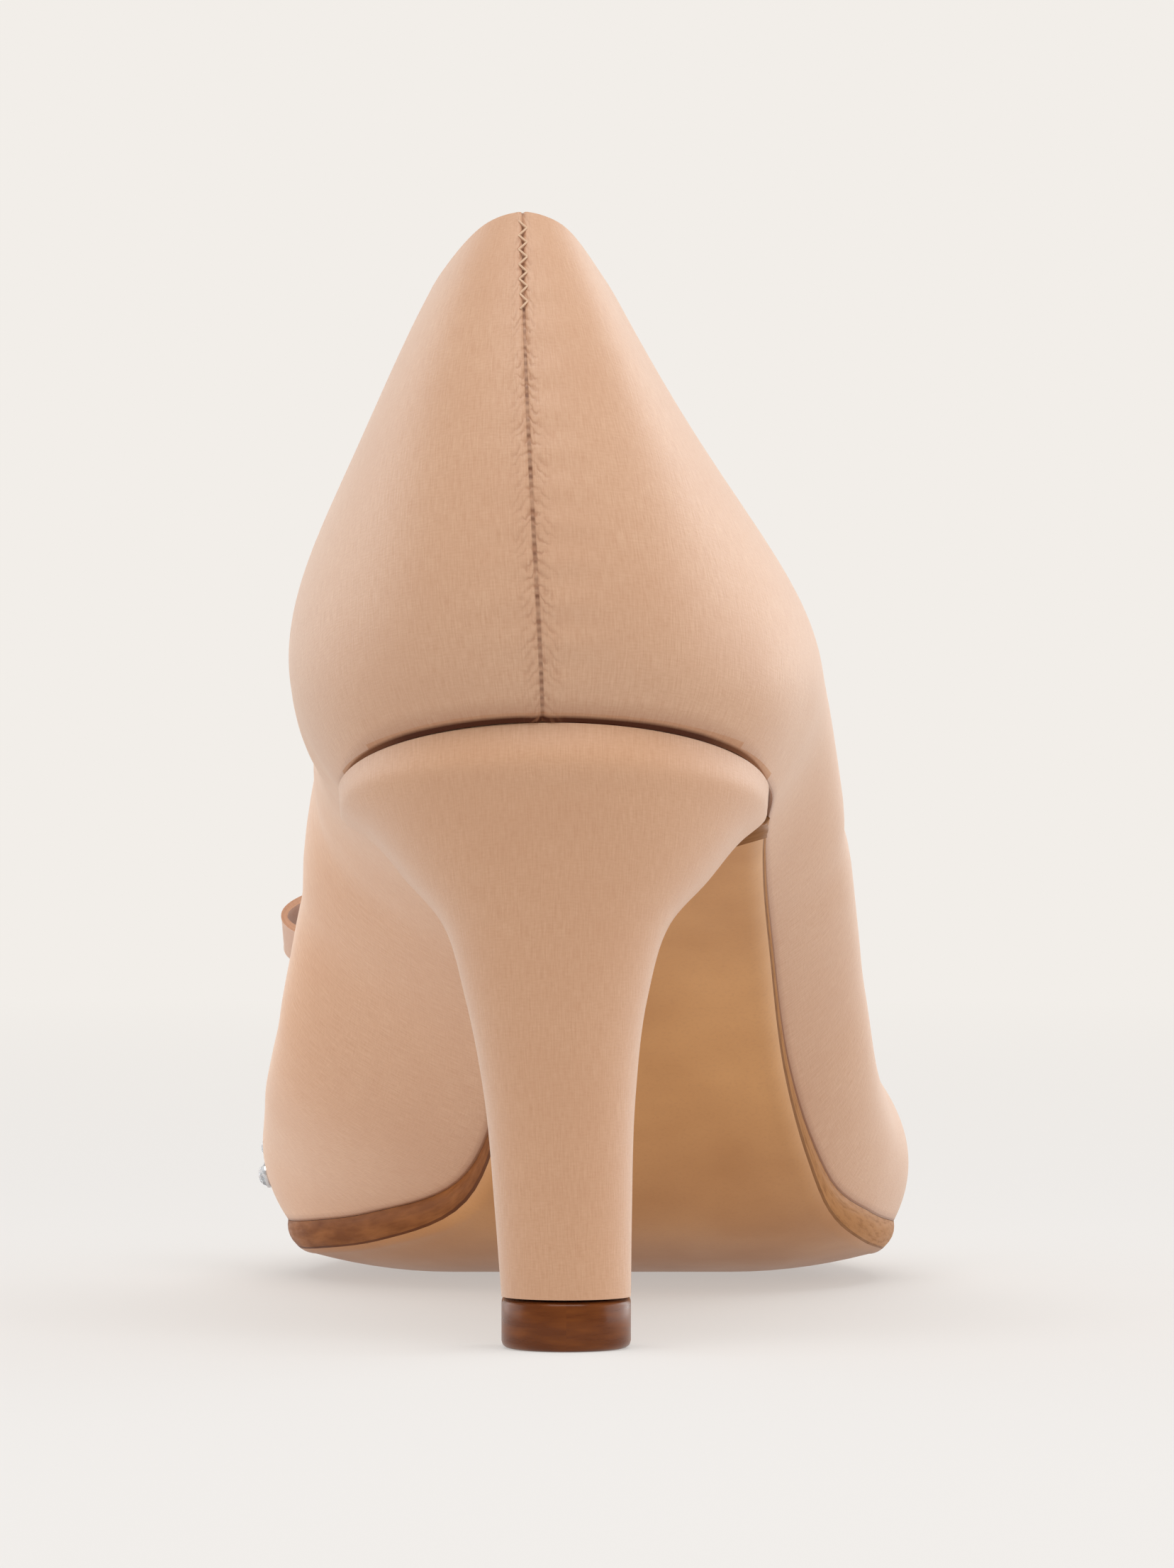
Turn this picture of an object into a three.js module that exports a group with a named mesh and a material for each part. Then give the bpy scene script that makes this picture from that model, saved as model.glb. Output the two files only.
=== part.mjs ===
// A right-foot court shoe with a covered heel, a ribbon bow on the vamp and a row of small stones.
// Millimetres. +Y runs from heel to toe, +X to the outer (lateral) side, +Z up, and the floor is z = 0.
// Distances along the shoe are measured from the rearmost point of the heel cup.

import * as THREE from 'three';
import { mergeVertices } from 'three/addons/utils/BufferGeometryUtils.js';

// Driving sizes
const WALL = 1.8;
const GAP = 0.3;
const INSOLE_THICKNESS = 1.5;
const INSOLE_INSET = 2.5;
const TOP_PIECE_HEIGHT = 5.5;
const BREAST_FRONT = 27.1;
const BREAST_RADIUS = 12;
const BREAST_SPRING = 44.3;
const BREAST_THICKNESS = 1.6;
const BREAST_JOIN = THREE.MathUtils.degToRad(64);
const BREAST_START = THREE.MathUtils.degToRad(76);
const SOLE_END_SHARE = 0.012;
const INSOLE_END_SHARE = 0.022;
const CAMBER_START = 0.5;
const BOW_ALONG = 159;
const BOW_SLOPE = THREE.MathUtils.degToRad(-17);
const BOW_DROOP = 0.02;
const RIBBON_THICKNESS = 0.9;
const KNOT = { halfWidth: 5, halfLength: 6.2, halfHeight: 4, lift: 0.45, swell: 0.7 };
const STONE = { radius: 1.5, base: 1.3, table: 0.8, girdle: 0.45, height: 1.3, sides: 8 };
const STONE_ROW = { lateralStart: 7.5, medialStart: 1.5, lowRise: 0.13, highRise: 0.66 };
const STONES_PER_SIDE = 8;
const STONE_GAP = 0.45;

// Mesh fineness
const STEPS_PER_SECTION = 3;
const WALL_STEPS = 13;
const SOLE_STEPS_ACROSS = 10;
const SOLE_STEPS_ALONG = 32;
const BREAST_ARC_STEPS = 8;
const BREAST_DROP_STEPS = 6;
const LOOP_STEPS = 26;
const RIBBON_STEPS_ACROSS = 4;
const HEEL_ROUND_STEPS = 9;
const HEEL_SIDE_STEPS = 3;
const KNOT_STEPS_ROUND = 18;
const KNOT_STEPS_DOWN = 12;
const BISECTIONS = 40;

// Short distances over which slopes are taken
const SLOPE_STEP = 0.5;
const TURN_STEP = 0.01;
const WALL_STEP = 0.02;

// Side profile: height of the line where upper meets sole, sole thickness, and how far the
// sole's edges rise above its middle.
const PROFILE = [
  { along: 0, seat: 70.9, sole: 2.2, camber: 0 },
  { along: 24, seat: 64.1, sole: 2.2, camber: 0 },
  { along: 48, seat: 57.2, sole: 2.2, camber: 0 },
  { along: 64, seat: 49.6, sole: 2.3, camber: 0 },
  { along: 75, seat: 43.6, sole: 2.4, camber: 0 },
  { along: 86, seat: 36.4, sole: 2.6, camber: 0 },
  { along: 97, seat: 28.0, sole: 2.9, camber: 0 },
  { along: 108, seat: 19.2, sole: 3.4, camber: 0.2 },
  { along: 119, seat: 11.6, sole: 3.8, camber: 0.7 },
  { along: 130, seat: 7.6, sole: 4.0, camber: 1.4 },
  { along: 142, seat: 5.4, sole: 4.0, camber: 2.0 },
  { along: 154, seat: 4.5, sole: 4.0, camber: 2.4 },
  { along: 166, seat: 4.0, sole: 4.0, camber: 2.6 },
  { along: 178, seat: 4.0, sole: 4.0, camber: 2.6 },
  { along: 190, seat: 4.9, sole: 4.0, camber: 2.3 },
  { along: 205, seat: 6.8, sole: 3.9, camber: 2.0 },
  { along: 230, seat: 10.4, sole: 3.8, camber: 1.2 },
];

// Sections of the last, from the back seam round to the toe, the same rows for both sides.
// along, lateral, medial: the feather line, where the wall starts.
// topAlong, topHeight, topLateral, topMedial: the topline, and from the throat on the ridge of the vamp.
// facing: the way the wall looks out, in degrees: 0 back, 90 sideways, 180 forward.
// flareLateral, flareMedial: lean of the wall outwards at the feather line, in degrees from upright.
// bellyLateral, bellyMedial: how far that lean carries; tuck, crown: the lean inwards at the top.
const SECTIONS = [
  { name: 'back', along: 3.6, lateral: -2.6, medial: -2.6, topAlong: 16.6, topHeight: 126, topLateral: -4.8,
    topMedial: -4.8, facing: 0, flareLateral: 37, flareMedial: 37, bellyLateral: 12, bellyMedial: 12,
    tuck: 35, crown: 26 },
  { name: 'back curve', along: 6.4, lateral: 8.8, medial: -11.9, topAlong: 19, topHeight: 124.7,
    topLateral: -0.4, topMedial: -9.1, facing: 36, flareLateral: 37, flareMedial: 37, bellyLateral: 12,
    bellyMedial: 12, tuck: 34, crown: 26 },
  { name: 'heel corner', along: 15, lateral: 17.8, medial: -20.5, topAlong: 27, topHeight: 119.1,
    topLateral: 4, topMedial: -14.1, facing: 66, flareLateral: 40, flareMedial: 38, bellyLateral: 14,
    bellyMedial: 10.8, tuck: 30, crown: 25 },
  { name: 'seat', along: 33, lateral: 22.9, medial: -24.9, topAlong: 40, topHeight: 109.7,
    topLateral: 9.4, topMedial: -18.2, facing: 88, flareLateral: 35, flareMedial: 38.5, bellyLateral: 22,
    bellyMedial: 17.4, tuck: 29, crown: 24 },
  { name: 'seat front', along: 52, lateral: 22.5, medial: -20, topAlong: 56, topHeight: 97.3,
    topLateral: 17.2, topMedial: -24.9, facing: 90, flareLateral: 43.5, flareMedial: 52, bellyLateral: 23.2,
    bellyMedial: 20.6, tuck: 21, crown: 20 },
  { name: 'shank', along: 75, lateral: 23.6, medial: -11.2, topAlong: 78, topHeight: 79.4,
    topLateral: 25.2, topMedial: -28.2, facing: 90, flareLateral: 57.5, flareMedial: 64, bellyLateral: 21.3,
    bellyMedial: 23.6, tuck: 5, crown: 16 },
  { name: 'waist', along: 98, lateral: 26.2, medial: -7.8, topAlong: 99.5, topHeight: 62,
    topLateral: 27, topMedial: -27, facing: 88, flareLateral: 53, flareMedial: 69, bellyLateral: 19.2,
    bellyMedial: 33, tuck: 19, crown: 16 },
  { name: 'waist front', along: 115, lateral: 30.8, medial: -11.8, topAlong: 116, topHeight: 49.6,
    topLateral: 25.8, topMedial: -23.8, facing: 78, flareLateral: 41.5, flareMedial: 68, bellyLateral: 18.6,
    bellyMedial: 39.6, tuck: 30, crown: 16 },
  { name: 'joint rear', along: 130, lateral: 36.6, medial: -23.6, topAlong: 131.5, topHeight: 42.8,
    topLateral: 22.4, topMedial: -19, facing: 76, flareLateral: 30.5, flareMedial: 56, bellyLateral: 15.4,
    bellyMedial: 30.4, tuck: 44, crown: 16 },
  { name: 'joint', along: 146, lateral: 39.6, medial: -32.8, topAlong: 144, topHeight: 40.8,
    topLateral: 16, topMedial: -13.6, facing: 84, flareLateral: 27, flareMedial: 35, bellyLateral: 15,
    bellyMedial: 18.6, tuck: 62, crown: 18 },
  { name: 'throat side', along: 156, lateral: 39.2, medial: -33.8, topAlong: 150.6, topHeight: 40.2,
    topLateral: 8, topMedial: -8, facing: 94, flareLateral: 25, flareMedial: 33, bellyLateral: 16,
    bellyMedial: 16.2, tuck: 78, crown: 20 },
  { name: 'throat', along: 165, lateral: 37.6, medial: -33, topAlong: 153, topHeight: 39.8,
    topLateral: -0.2, topMedial: -0.2, facing: 102, flareLateral: 22, flareMedial: 23, bellyLateral: 15,
    bellyMedial: 15, tuck: 90, crown: 22 },
  { name: 'vamp', along: 182, lateral: 33, medial: -29.8, topAlong: 167, topHeight: 35,
    topLateral: -0.1, topMedial: -0.1, facing: 111, flareLateral: 16, flareMedial: 16, bellyLateral: 13,
    bellyMedial: 13, tuck: 90, crown: 20 },
  { name: 'toe box', along: 202, lateral: 24.6, medial: -23.6, topAlong: 186, topHeight: 28.6,
    topLateral: -0.3, topMedial: -0.3, facing: 122, flareLateral: 12, flareMedial: 12, bellyLateral: 10,
    bellyMedial: 10, tuck: 90, crown: 17 },
  { name: 'toe corner', along: 219, lateral: 13.8, medial: -14.8, topAlong: 204, topHeight: 22.9,
    topLateral: -0.8, topMedial: -0.8, facing: 140, flareLateral: 10, flareMedial: 10, bellyLateral: 8,
    bellyMedial: 8, tuck: 90, crown: 12 },
  { name: 'toe', along: 227.6, lateral: -1.2, medial: -1.2, topAlong: 214, topHeight: 19.8,
    topLateral: -1.2, topMedial: -1.2, facing: 180, flareLateral: 8, flareMedial: 8, bellyLateral: 6.5,
    bellyMedial: 6.5, tuck: 90, crown: 8.5 },
];
const THROAT = SECTIONS.findIndex((row) => row.name === 'throat');
const TOE = SECTIONS.length - 1;

// Levels of the heel from its tip up to the seam under the upper, each with a round back and a flat front.
const HEEL_LEVELS = [
  { name: 'tip', backAlong: 12.9, backHeight: 5.8, frontAlong: 25.2, frontHeight: 5.8,
    middle: 0, half: 7.2, round: 8 },
  { name: 'low', backAlong: 11.8, backHeight: 15, frontAlong: 25.2, frontHeight: 15,
    middle: -0.3, half: 7.6, round: 8.6 },
  { name: 'shaft', backAlong: 10.1, backHeight: 28, frontAlong: 25.2, frontHeight: 28,
    middle: -0.7, half: 8.4, round: 9.6 },
  { name: 'neck', backAlong: 8.2, backHeight: 40, frontAlong: 25.2, frontHeight: 39,
    middle: -1.1, half: 10.2, round: 11 },
  { name: 'flare', backAlong: 6.4, backHeight: 49, frontAlong: 25.5, frontHeight: 47,
    middle: -1.1, half: 12.7, round: 13.5 },
  { name: 'cup', backAlong: 4.7, backHeight: 56, frontAlong: 27, frontHeight: 51.7,
    middle: -1, half: 16.8, round: 18 },
  { name: 'shelf', backAlong: 3.1, backHeight: 62, frontAlong: 31, frontHeight: 56,
    middle: -1.1, half: 20.6, round: 23 },
  { name: 'lip', backAlong: 2.3, backHeight: 65.9, frontAlong: 35.9, frontHeight: 58.15,
    middle: -1.4, half: 23.6, round: 28 },
  { name: 'seam', backAlong: 3.7, backHeight: 69.5, frontAlong: 40.4, frontHeight: 59.1,
    middle: -1.4, half: 24.1, round: 29 },
];

// Levels of the top piece, with its lower edge rounded off.
const TOP_PIECE_LEVELS = [
  { name: 'floor', height: 0, inset: 0.6 },
  { name: 'edge', height: 0.7, inset: 0 },
  { name: 'joint', height: TOP_PIECE_HEIGHT, inset: 0 },
];
const TOP_PIECE = { backAlong: 12.9, frontAlong: BREAST_FRONT, middle: 0, half: 7.2, round: 8 };

// Middle and half width of the sole's flap as it comes down the front of the heel.
const BREAST = [
  { height: 5.8, middle: 0, half: 7.1 },
  { height: 18, middle: -0.4, half: 7.6 },
  { height: 30, middle: -0.8, half: 8.5 },
  { height: 40, middle: -1.1, half: 10.1 },
  { height: 47, middle: -1.1, half: 11.9 },
  { height: 51.6, middle: -1, half: 14.7 },
  { height: 55.2, middle: -0.4, half: 18.9 },
  { height: 56.3, middle: 0.4, half: 22.2 },
];

// One loop of the bow, from the knot out over the top and back underneath.
const LOOP = [
  { out: 0, up: 1.3, width: 8.4 },
  { out: 5.8, up: 4, width: 11 },
  { out: 13.4, up: 4.6, width: 13.6 },
  { out: 21.2, up: 3.6, width: 14.8 },
  { out: 26.7, up: 1.8, width: 15 },
  { out: 28.4, up: 0, width: 15 },
  { out: 25.9, up: -1.7, width: 15 },
  { out: 19.4, up: -2.7, width: 14.6 },
  { out: 11.5, up: -2.9, width: 13.4 },
  { out: 4.6, up: -2, width: 11 },
  { out: 0, up: -1.3, width: 8.4 },
];

// Curves through tables

// Slopes at the knots of a table. With limit set, flat stretches stay flat and nothing overshoots.
function slopesThrough(knots, values, limit) {
  const last = knots.length - 1;
  const span = (i) => knots[i + 1] - knots[i];
  const grade = (i) => (values[i + 1] - values[i]) / span(i);
  return knots.map((_, i) => {
    if (i === 0) return grade(0);
    if (i === last) return grade(last - 1);
    const before = grade(i - 1);
    const after = grade(i);
    const mean = (before * span(i) + after * span(i - 1)) / (span(i) + span(i - 1));
    if (!limit) return mean;
    if (before * after <= 0) return 0;
    const most = 3 * Math.min(Math.abs(before), Math.abs(after));
    return Math.sign(mean) * Math.min(Math.abs(mean), most);
  });
}

function curveThrough(knots, values, limit = false) {
  const slopes = slopesThrough(knots, values, limit);
  return (at) => {
    let i = 0;
    while (i < knots.length - 2 && at > knots[i + 1]) i += 1;
    const span = knots[i + 1] - knots[i];
    const t = (at - knots[i]) / span;
    const rise = values[i + 1] - values[i];
    const start = slopes[i] * span - rise;
    const end = rise - slopes[i + 1] * span;
    return values[i] + t * (rise + (1 - t) * (start * (1 - t) + end * t));
  };
}

function profileCurve(column) {
  return curveThrough(PROFILE.map((row) => row.along), PROFILE.map((row) => row[column]), true);
}

const seatHeight = profileCurve('seat');
const soleThickness = profileCurve('sole');
const soleCamber = profileCurve('camber');

// The last

// Distance round the feather line to each section, as the mean of both sides.
const REACH = [0];
for (let i = 1; i <= TOE; i += 1) {
  const from = SECTIONS[i - 1];
  const to = SECTIONS[i];
  const lateral = Math.hypot(to.lateral - from.lateral, to.along - from.along);
  const medial = Math.hypot(to.medial - from.medial, to.along - from.along);
  REACH.push(REACH[i - 1] + (lateral + medial) / 2);
}

// A closed curve out along the lateral rows and home along the medial ones, up to one last row.
function roundCurve(value, lastRow) {
  const turn = REACH[lastRow];
  const out = SECTIONS.slice(0, lastRow + 1).map((row, i) => ({ at: REACH[i], value: value(row, 1) }));
  const home = SECTIONS.slice(0, lastRow).reverse();
  const back = home.map((row, i) => ({ at: 2 * turn - REACH[lastRow - 1 - i], value: value(row, -1) }));
  const round = [...out, ...back];
  const before = round[round.length - 2];
  const after = round[1];
  const rows = [
    { at: before.at - 2 * turn, value: before.value },
    ...round,
    { at: after.at + 2 * turn, value: after.value },
  ];
  const curve = curveThrough(rows.map((row) => row.at), rows.map((row) => row.value));
  return (side, reach) => curve(side > 0 ? reach : 2 * turn - reach);
}

function ridgeCurve(column) {
  const rows = SECTIONS.slice(THROAT);
  return curveThrough(REACH.slice(THROAT), rows.map((row) => row[column]));
}

const bySide = (lateral, medial) => (row, side) => (side > 0 ? row[lateral] : row[medial]);
const degrees = THREE.MathUtils.degToRad;
const featherAcross = roundCurve(bySide('lateral', 'medial'), TOE);
const featherAlong = roundCurve((row) => row.along, TOE);
const outAcross = roundCurve((row, side) => side * Math.sin(degrees(row.facing)), TOE);
const outAlong = roundCurve((row) => -Math.cos(degrees(row.facing)), TOE);
const wallFlare = roundCurve(bySide('flareLateral', 'flareMedial'), TOE);
const wallBelly = roundCurve(bySide('bellyLateral', 'bellyMedial'), TOE);
const wallTuck = roundCurve((row) => row.tuck, TOE);
const wallCrown = roundCurve((row) => row.crown, TOE);
const toplineAcross = roundCurve(bySide('topLateral', 'topMedial'), THROAT);
const toplineAlong = roundCurve((row) => row.topAlong, THROAT);
const toplineHeight = roundCurve((row) => row.topHeight, THROAT);
const ridgeAcross = ridgeCurve('topLateral');
const ridgeAlong = ridgeCurve('topAlong');
const ridgeHeight = ridgeCurve('topHeight');

function featherPoint(side, reach) {
  const along = featherAlong(side, reach);
  return new THREE.Vector3(featherAcross(side, reach), along, seatHeight(along) + soleCamber(along));
}

function outwardAt(side, reach) {
  return new THREE.Vector3(outAcross(side, reach), outAlong(side, reach), 0).normalize();
}

function topPoint(side, reach) {
  if (reach >= REACH[THROAT]) {
    return new THREE.Vector3(ridgeAcross(reach), ridgeAlong(reach), ridgeHeight(reach));
  }
  const across = toplineAcross(side, reach);
  return new THREE.Vector3(across, toplineAlong(side, reach), toplineHeight(side, reach));
}

// Fall of the vamp's ridge per millimetre forward.
function ridgeGrade(reach) {
  if (reach < REACH[THROAT]) return 0;
  const from = Math.min(reach, REACH[TOE] - SLOPE_STEP);
  const to = from + SLOPE_STEP;
  return (ridgeHeight(to) - ridgeHeight(from)) / (ridgeAlong(to) - ridgeAlong(from));
}

// The wall of one section: out from the feather line, over its belly and in to the top.
function wallCurve(side, reach) {
  const low = featherPoint(side, reach);
  const high = topPoint(side, reach);
  const out = outwardAt(side, reach);
  const up = new THREE.Vector3(0, 0, 1);
  const flare = degrees(wallFlare(side, reach));
  const tuck = degrees(wallTuck(side, reach));
  const inward = out.clone().setZ(out.y * ridgeGrade(reach)).normalize();
  const leave = up.clone().multiplyScalar(Math.cos(flare)).addScaledVector(out, Math.sin(flare));
  const arrive = up.clone().multiplyScalar(Math.cos(tuck)).addScaledVector(inward, -Math.sin(tuck));
  const belly = low.clone().addScaledVector(leave, wallBelly(side, reach));
  const crown = high.clone().addScaledVector(arrive, -wallCrown(side, reach));
  return new THREE.CubicBezierCurve3(low, belly, crown, high);
}

// Solids from points and triangles

function solid(points, triangles) {
  const geometry = new THREE.BufferGeometry();
  const places = points.flatMap((p) => [p.x, p.y, p.z]);
  geometry.setAttribute('position', new THREE.Float32BufferAttribute(places, 3));
  geometry.setIndex(triangles.flat());
  geometry.computeVertexNormals();
  return geometry;
}

// A ready-made shape with its seams closed.
function welded(geometry) {
  geometry.deleteAttribute('normal');
  geometry.deleteAttribute('uv');
  const closed = mergeVertices(geometry, 1e-3);
  closed.computeVertexNormals();
  return closed;
}

// A slab from rows of matching top and bottom points, each row running to the left of the rows' advance.
function slab(rows) {
  const across = rows[0].top.length;
  const points = rows.flatMap((row) => [...row.top, ...row.bottom]);
  const top = (r, k) => r * 2 * across + k;
  const bottom = (r, k) => top(r, k) + across;
  const triangles = [];
  const quad = (a, b, c, d) => triangles.push([a, c, b], [a, d, c]);
  const last = rows.length - 1;
  const edge = across - 1;
  for (let r = 0; r < last; r += 1) {
    for (let k = 0; k < edge; k += 1) {
      quad(top(r, k), top(r, k + 1), top(r + 1, k + 1), top(r + 1, k));
      quad(bottom(r, k), bottom(r + 1, k), bottom(r + 1, k + 1), bottom(r, k + 1));
    }
    quad(top(r, 0), top(r + 1, 0), bottom(r + 1, 0), bottom(r, 0));
    quad(top(r, edge), bottom(r, edge), bottom(r + 1, edge), top(r + 1, edge));
  }
  for (let k = 0; k < edge; k += 1) {
    quad(top(0, k), bottom(0, k), bottom(0, k + 1), top(0, k + 1));
    quad(top(last, k), top(last, k + 1), bottom(last, k + 1), bottom(last, k));
  }
  return solid(points, triangles);
}

// A body lofted through level loops that run from the back round the lateral side to the medial side.
function loft(loops) {
  const count = loops[0].length;
  const half = (count - 1) / 2;
  const triangles = [];
  for (let level = 0; level < loops.length - 1; level += 1) {
    for (let i = 0; i < count; i += 1) {
      const a = level * count + i;
      const b = level * count + ((i + 1) % count);
      triangles.push([a, b, b + count], [a, b + count, a + count]);
    }
  }
  const lid = (base, a, b, c) => (base > 0 ? [base + a, base + b, base + c] : [a, c, b]);
  for (const base of [0, (loops.length - 1) * count]) {
    triangles.push(lid(base, 0, 1, count - 1));
    for (let i = 1; i < half; i += 1) {
      triangles.push(lid(base, i, i + 1, count - i - 1), lid(base, i, count - i - 1, count - i));
    }
  }
  return solid(loops.flat(), triangles);
}

// Upper: the last's surface, its inner copy one wall deep, and the rims that join them.
function upperGeometry() {
  const stations = [0];
  for (let i = 0; i < TOE; i += 1) {
    for (let k = 1; k <= STEPS_PER_SECTION; k += 1) {
      stations.push(REACH[i] + ((REACH[i + 1] - REACH[i]) * k) / STEPS_PER_SECTION);
    }
  }
  const toe = stations.length - 1;
  const throat = THROAT * STEPS_PER_SECTION;
  const columns = 2 * toe;
  const points = [];
  const grid = [];
  for (let c = 0; c < columns; c += 1) {
    const side = c <= toe ? 1 : -1;
    const station = c <= toe ? c : columns - c;
    const section = wallCurve(side, stations[station]);
    const shared = side < 0 && station >= throat;
    grid.push([]);
    for (let r = 0; r <= WALL_STEPS; r += 1) {
      if (r === WALL_STEPS && shared) {
        grid[c].push(grid[station][r]);
      } else {
        grid[c].push(points.length);
        points.push(section.getPoint(r / WALL_STEPS));
      }
    }
  }
  const outer = [];
  for (let c = 0; c < columns; c += 1) {
    const next = (c + 1) % columns;
    for (let r = 0; r < WALL_STEPS; r += 1) {
      outer.push([grid[c][r], grid[next][r], grid[next][r + 1]]);
      outer.push([grid[c][r], grid[next][r + 1], grid[c][r + 1]]);
    }
  }
  const normals = solid(points, outer).getAttribute('normal');
  const depth = points.length;
  const lining = points.map((point, i) => {
    const normal = new THREE.Vector3().fromBufferAttribute(normals, i);
    return point.clone().addScaledVector(normal, -WALL);
  });
  const inner = outer.map(([a, b, c]) => [a + depth, c + depth, b + depth]);
  const rims = [];
  const rim = (from, to) => rims.push([from, to, to + depth], [from, to + depth, from + depth]);
  for (let c = 0; c < columns; c += 1) {
    const next = (c + 1) % columns;
    rim(grid[next][0], grid[c][0]);
    const station = Math.max(Math.min(c, columns - c), Math.min(next, columns - next));
    if (station <= throat) rim(grid[c][WALL_STEPS], grid[next][WALL_STEPS]);
  }
  return solid([...points, ...lining], [...outer, ...inner, ...rims]);
}

// A cross row of the bottom: its edges follow the feather line, set in by inset, and rise with the camber.
function bottomRow(reach, inset) {
  const end = (side) => featherPoint(side, reach).addScaledVector(outwardAt(side, reach), -inset);
  const medial = end(-1);
  const lateral = end(1);
  const along = medial.y;
  const rising = seatHeight(along + SLOPE_STEP) - seatHeight(along - SLOPE_STEP);
  const grade = rising / (2 * SLOPE_STEP);
  const normal = new THREE.Vector3(0, -grade, 1).normalize();
  const points = [];
  for (let k = 0; k <= SOLE_STEPS_ACROSS; k += 1) {
    const across = (2 * k) / SOLE_STEPS_ACROSS - 1;
    const rise = Math.max(0, (Math.abs(across) - CAMBER_START) / (1 - CAMBER_START));
    const height = seatHeight(along) + soleCamber(along) * rise * rise;
    const x = THREE.MathUtils.lerp(medial.x, lateral.x, k / SOLE_STEPS_ACROSS);
    points.push(new THREE.Vector3(x, along, height));
  }
  return { along, normal, points };
}

function shifted(points, normal, distance) {
  return points.map((point) => point.clone().addScaledVector(normal, distance));
}

// Place on the feather line's walk where the sole has come to a given distance from the heel.
function reachAt(along) {
  let low = 0;
  let high = REACH[TOE];
  for (let i = 0; i < BISECTIONS; i += 1) {
    const middle = (low + high) / 2;
    if (featherAlong(1, middle) < along) low = middle;
    else high = middle;
  }
  return (low + high) / 2;
}

function evenSteps(from, to, count) {
  return Array.from({ length: count + 1 }, (_, i) => THREE.MathUtils.lerp(from, to, i / count));
}

// Outsole: from the toe back to the heel, round the arch and down the heel's front as a thin flap.
function outsoleGeometry() {
  const arcCentre = BREAST_FRONT + BREAST_RADIUS;
  const joinAlong = arcCentre + BREAST_RADIUS * Math.cos(BREAST_JOIN);
  const start = REACH[TOE] * (1 - SOLE_END_SHARE);
  const rows = evenSteps(start, reachAt(joinAlong), SOLE_STEPS_ALONG).map((reach) => {
    const { along, normal, points } = bottomRow(reach, 0);
    return {
      top: shifted(points, normal, -GAP),
      bottom: shifted(points, normal, -soleThickness(along)),
    };
  });
  const heights = BREAST.map((row) => row.height);
  const breastCurve = (column) => curveThrough(heights, BREAST.map((row) => row[column]), true);
  const breastHalf = breastCurve('half');
  const breastMiddle = breastCurve('middle');
  const flapRow = (along, height, back) => {
    const edges = [-1, 1].map((side) => breastMiddle(height) + side * breastHalf(height));
    const bottom = evenSteps(...edges, SOLE_STEPS_ACROSS).map((x) => new THREE.Vector3(x, along, height));
    return { top: shifted(bottom, back, BREAST_THICKNESS), bottom };
  };
  for (const angle of evenSteps(BREAST_START, Math.PI, BREAST_ARC_STEPS)) {
    const back = new THREE.Vector3(0, Math.cos(angle), Math.sin(angle));
    const along = arcCentre + BREAST_RADIUS * back.y;
    rows.push(flapRow(along, BREAST_SPRING + BREAST_RADIUS * back.z, back));
  }
  const flapEnd = TOP_PIECE_HEIGHT + GAP;
  for (const height of evenSteps(BREAST_SPRING, flapEnd, BREAST_DROP_STEPS).slice(1)) {
    rows.push(flapRow(BREAST_FRONT, height, new THREE.Vector3(0, -1, 0)));
  }
  return slab(rows);
}

// Insole: a thin board on the sole and the heel seat, just clear of the wall.
function insoleGeometry() {
  const ends = [REACH[TOE] * (1 - INSOLE_END_SHARE), REACH[TOE] * INSOLE_END_SHARE];
  const rows = evenSteps(...ends, SOLE_STEPS_ALONG).map((reach) => {
    const { normal, points } = bottomRow(reach, INSOLE_INSET);
    return { top: shifted(points, normal, INSOLE_THICKNESS), bottom: points };
  });
  return slab(rows);
}

// A level of the heel: a round back, straight sides and a flat front.
function heelLoop(level, heightAt) {
  const sidePoints = [];
  for (let i = 1; i <= HEEL_ROUND_STEPS; i += 1) {
    const angle = (Math.PI / 2) * (i / HEEL_ROUND_STEPS);
    const along = level.backAlong + level.round * (1 - Math.cos(angle));
    sidePoints.push({ across: level.half * Math.sin(angle), along });
  }
  const straight = level.backAlong + level.round;
  for (let i = 1; i <= HEEL_SIDE_STEPS; i += 1) {
    const along = THREE.MathUtils.lerp(straight, level.frontAlong, i / HEEL_SIDE_STEPS);
    sidePoints.push({ across: level.half, along });
  }
  const point = (side) => ({ across, along }) => (
    new THREE.Vector3(level.middle + side * across, along, heightAt(along)));
  const back = new THREE.Vector3(level.middle, level.backAlong, heightAt(level.backAlong));
  return [back, ...sidePoints.map(point(1)), ...sidePoints.map(point(-1)).reverse()];
}

function heelGeometry() {
  const loops = HEEL_LEVELS.map((level) => {
    const slope = (level.frontHeight - level.backHeight) / (level.frontAlong - level.backAlong);
    const plane = (along) => level.backHeight + slope * (along - level.backAlong);
    const seat = (along) => seatHeight(along) - GAP;
    return heelLoop(level, level.name === 'seam' ? seat : plane);
  });
  return loft(loops);
}

function topPieceGeometry() {
  const loops = TOP_PIECE_LEVELS.map(({ height, inset }) => {
    const level = {
      backAlong: TOP_PIECE.backAlong + inset,
      frontAlong: TOP_PIECE.frontAlong - inset,
      middle: TOP_PIECE.middle,
      half: TOP_PIECE.half - inset,
      round: TOP_PIECE.round,
    };
    return heelLoop(level, () => height);
  });
  return loft(loops);
}

// Bow

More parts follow.
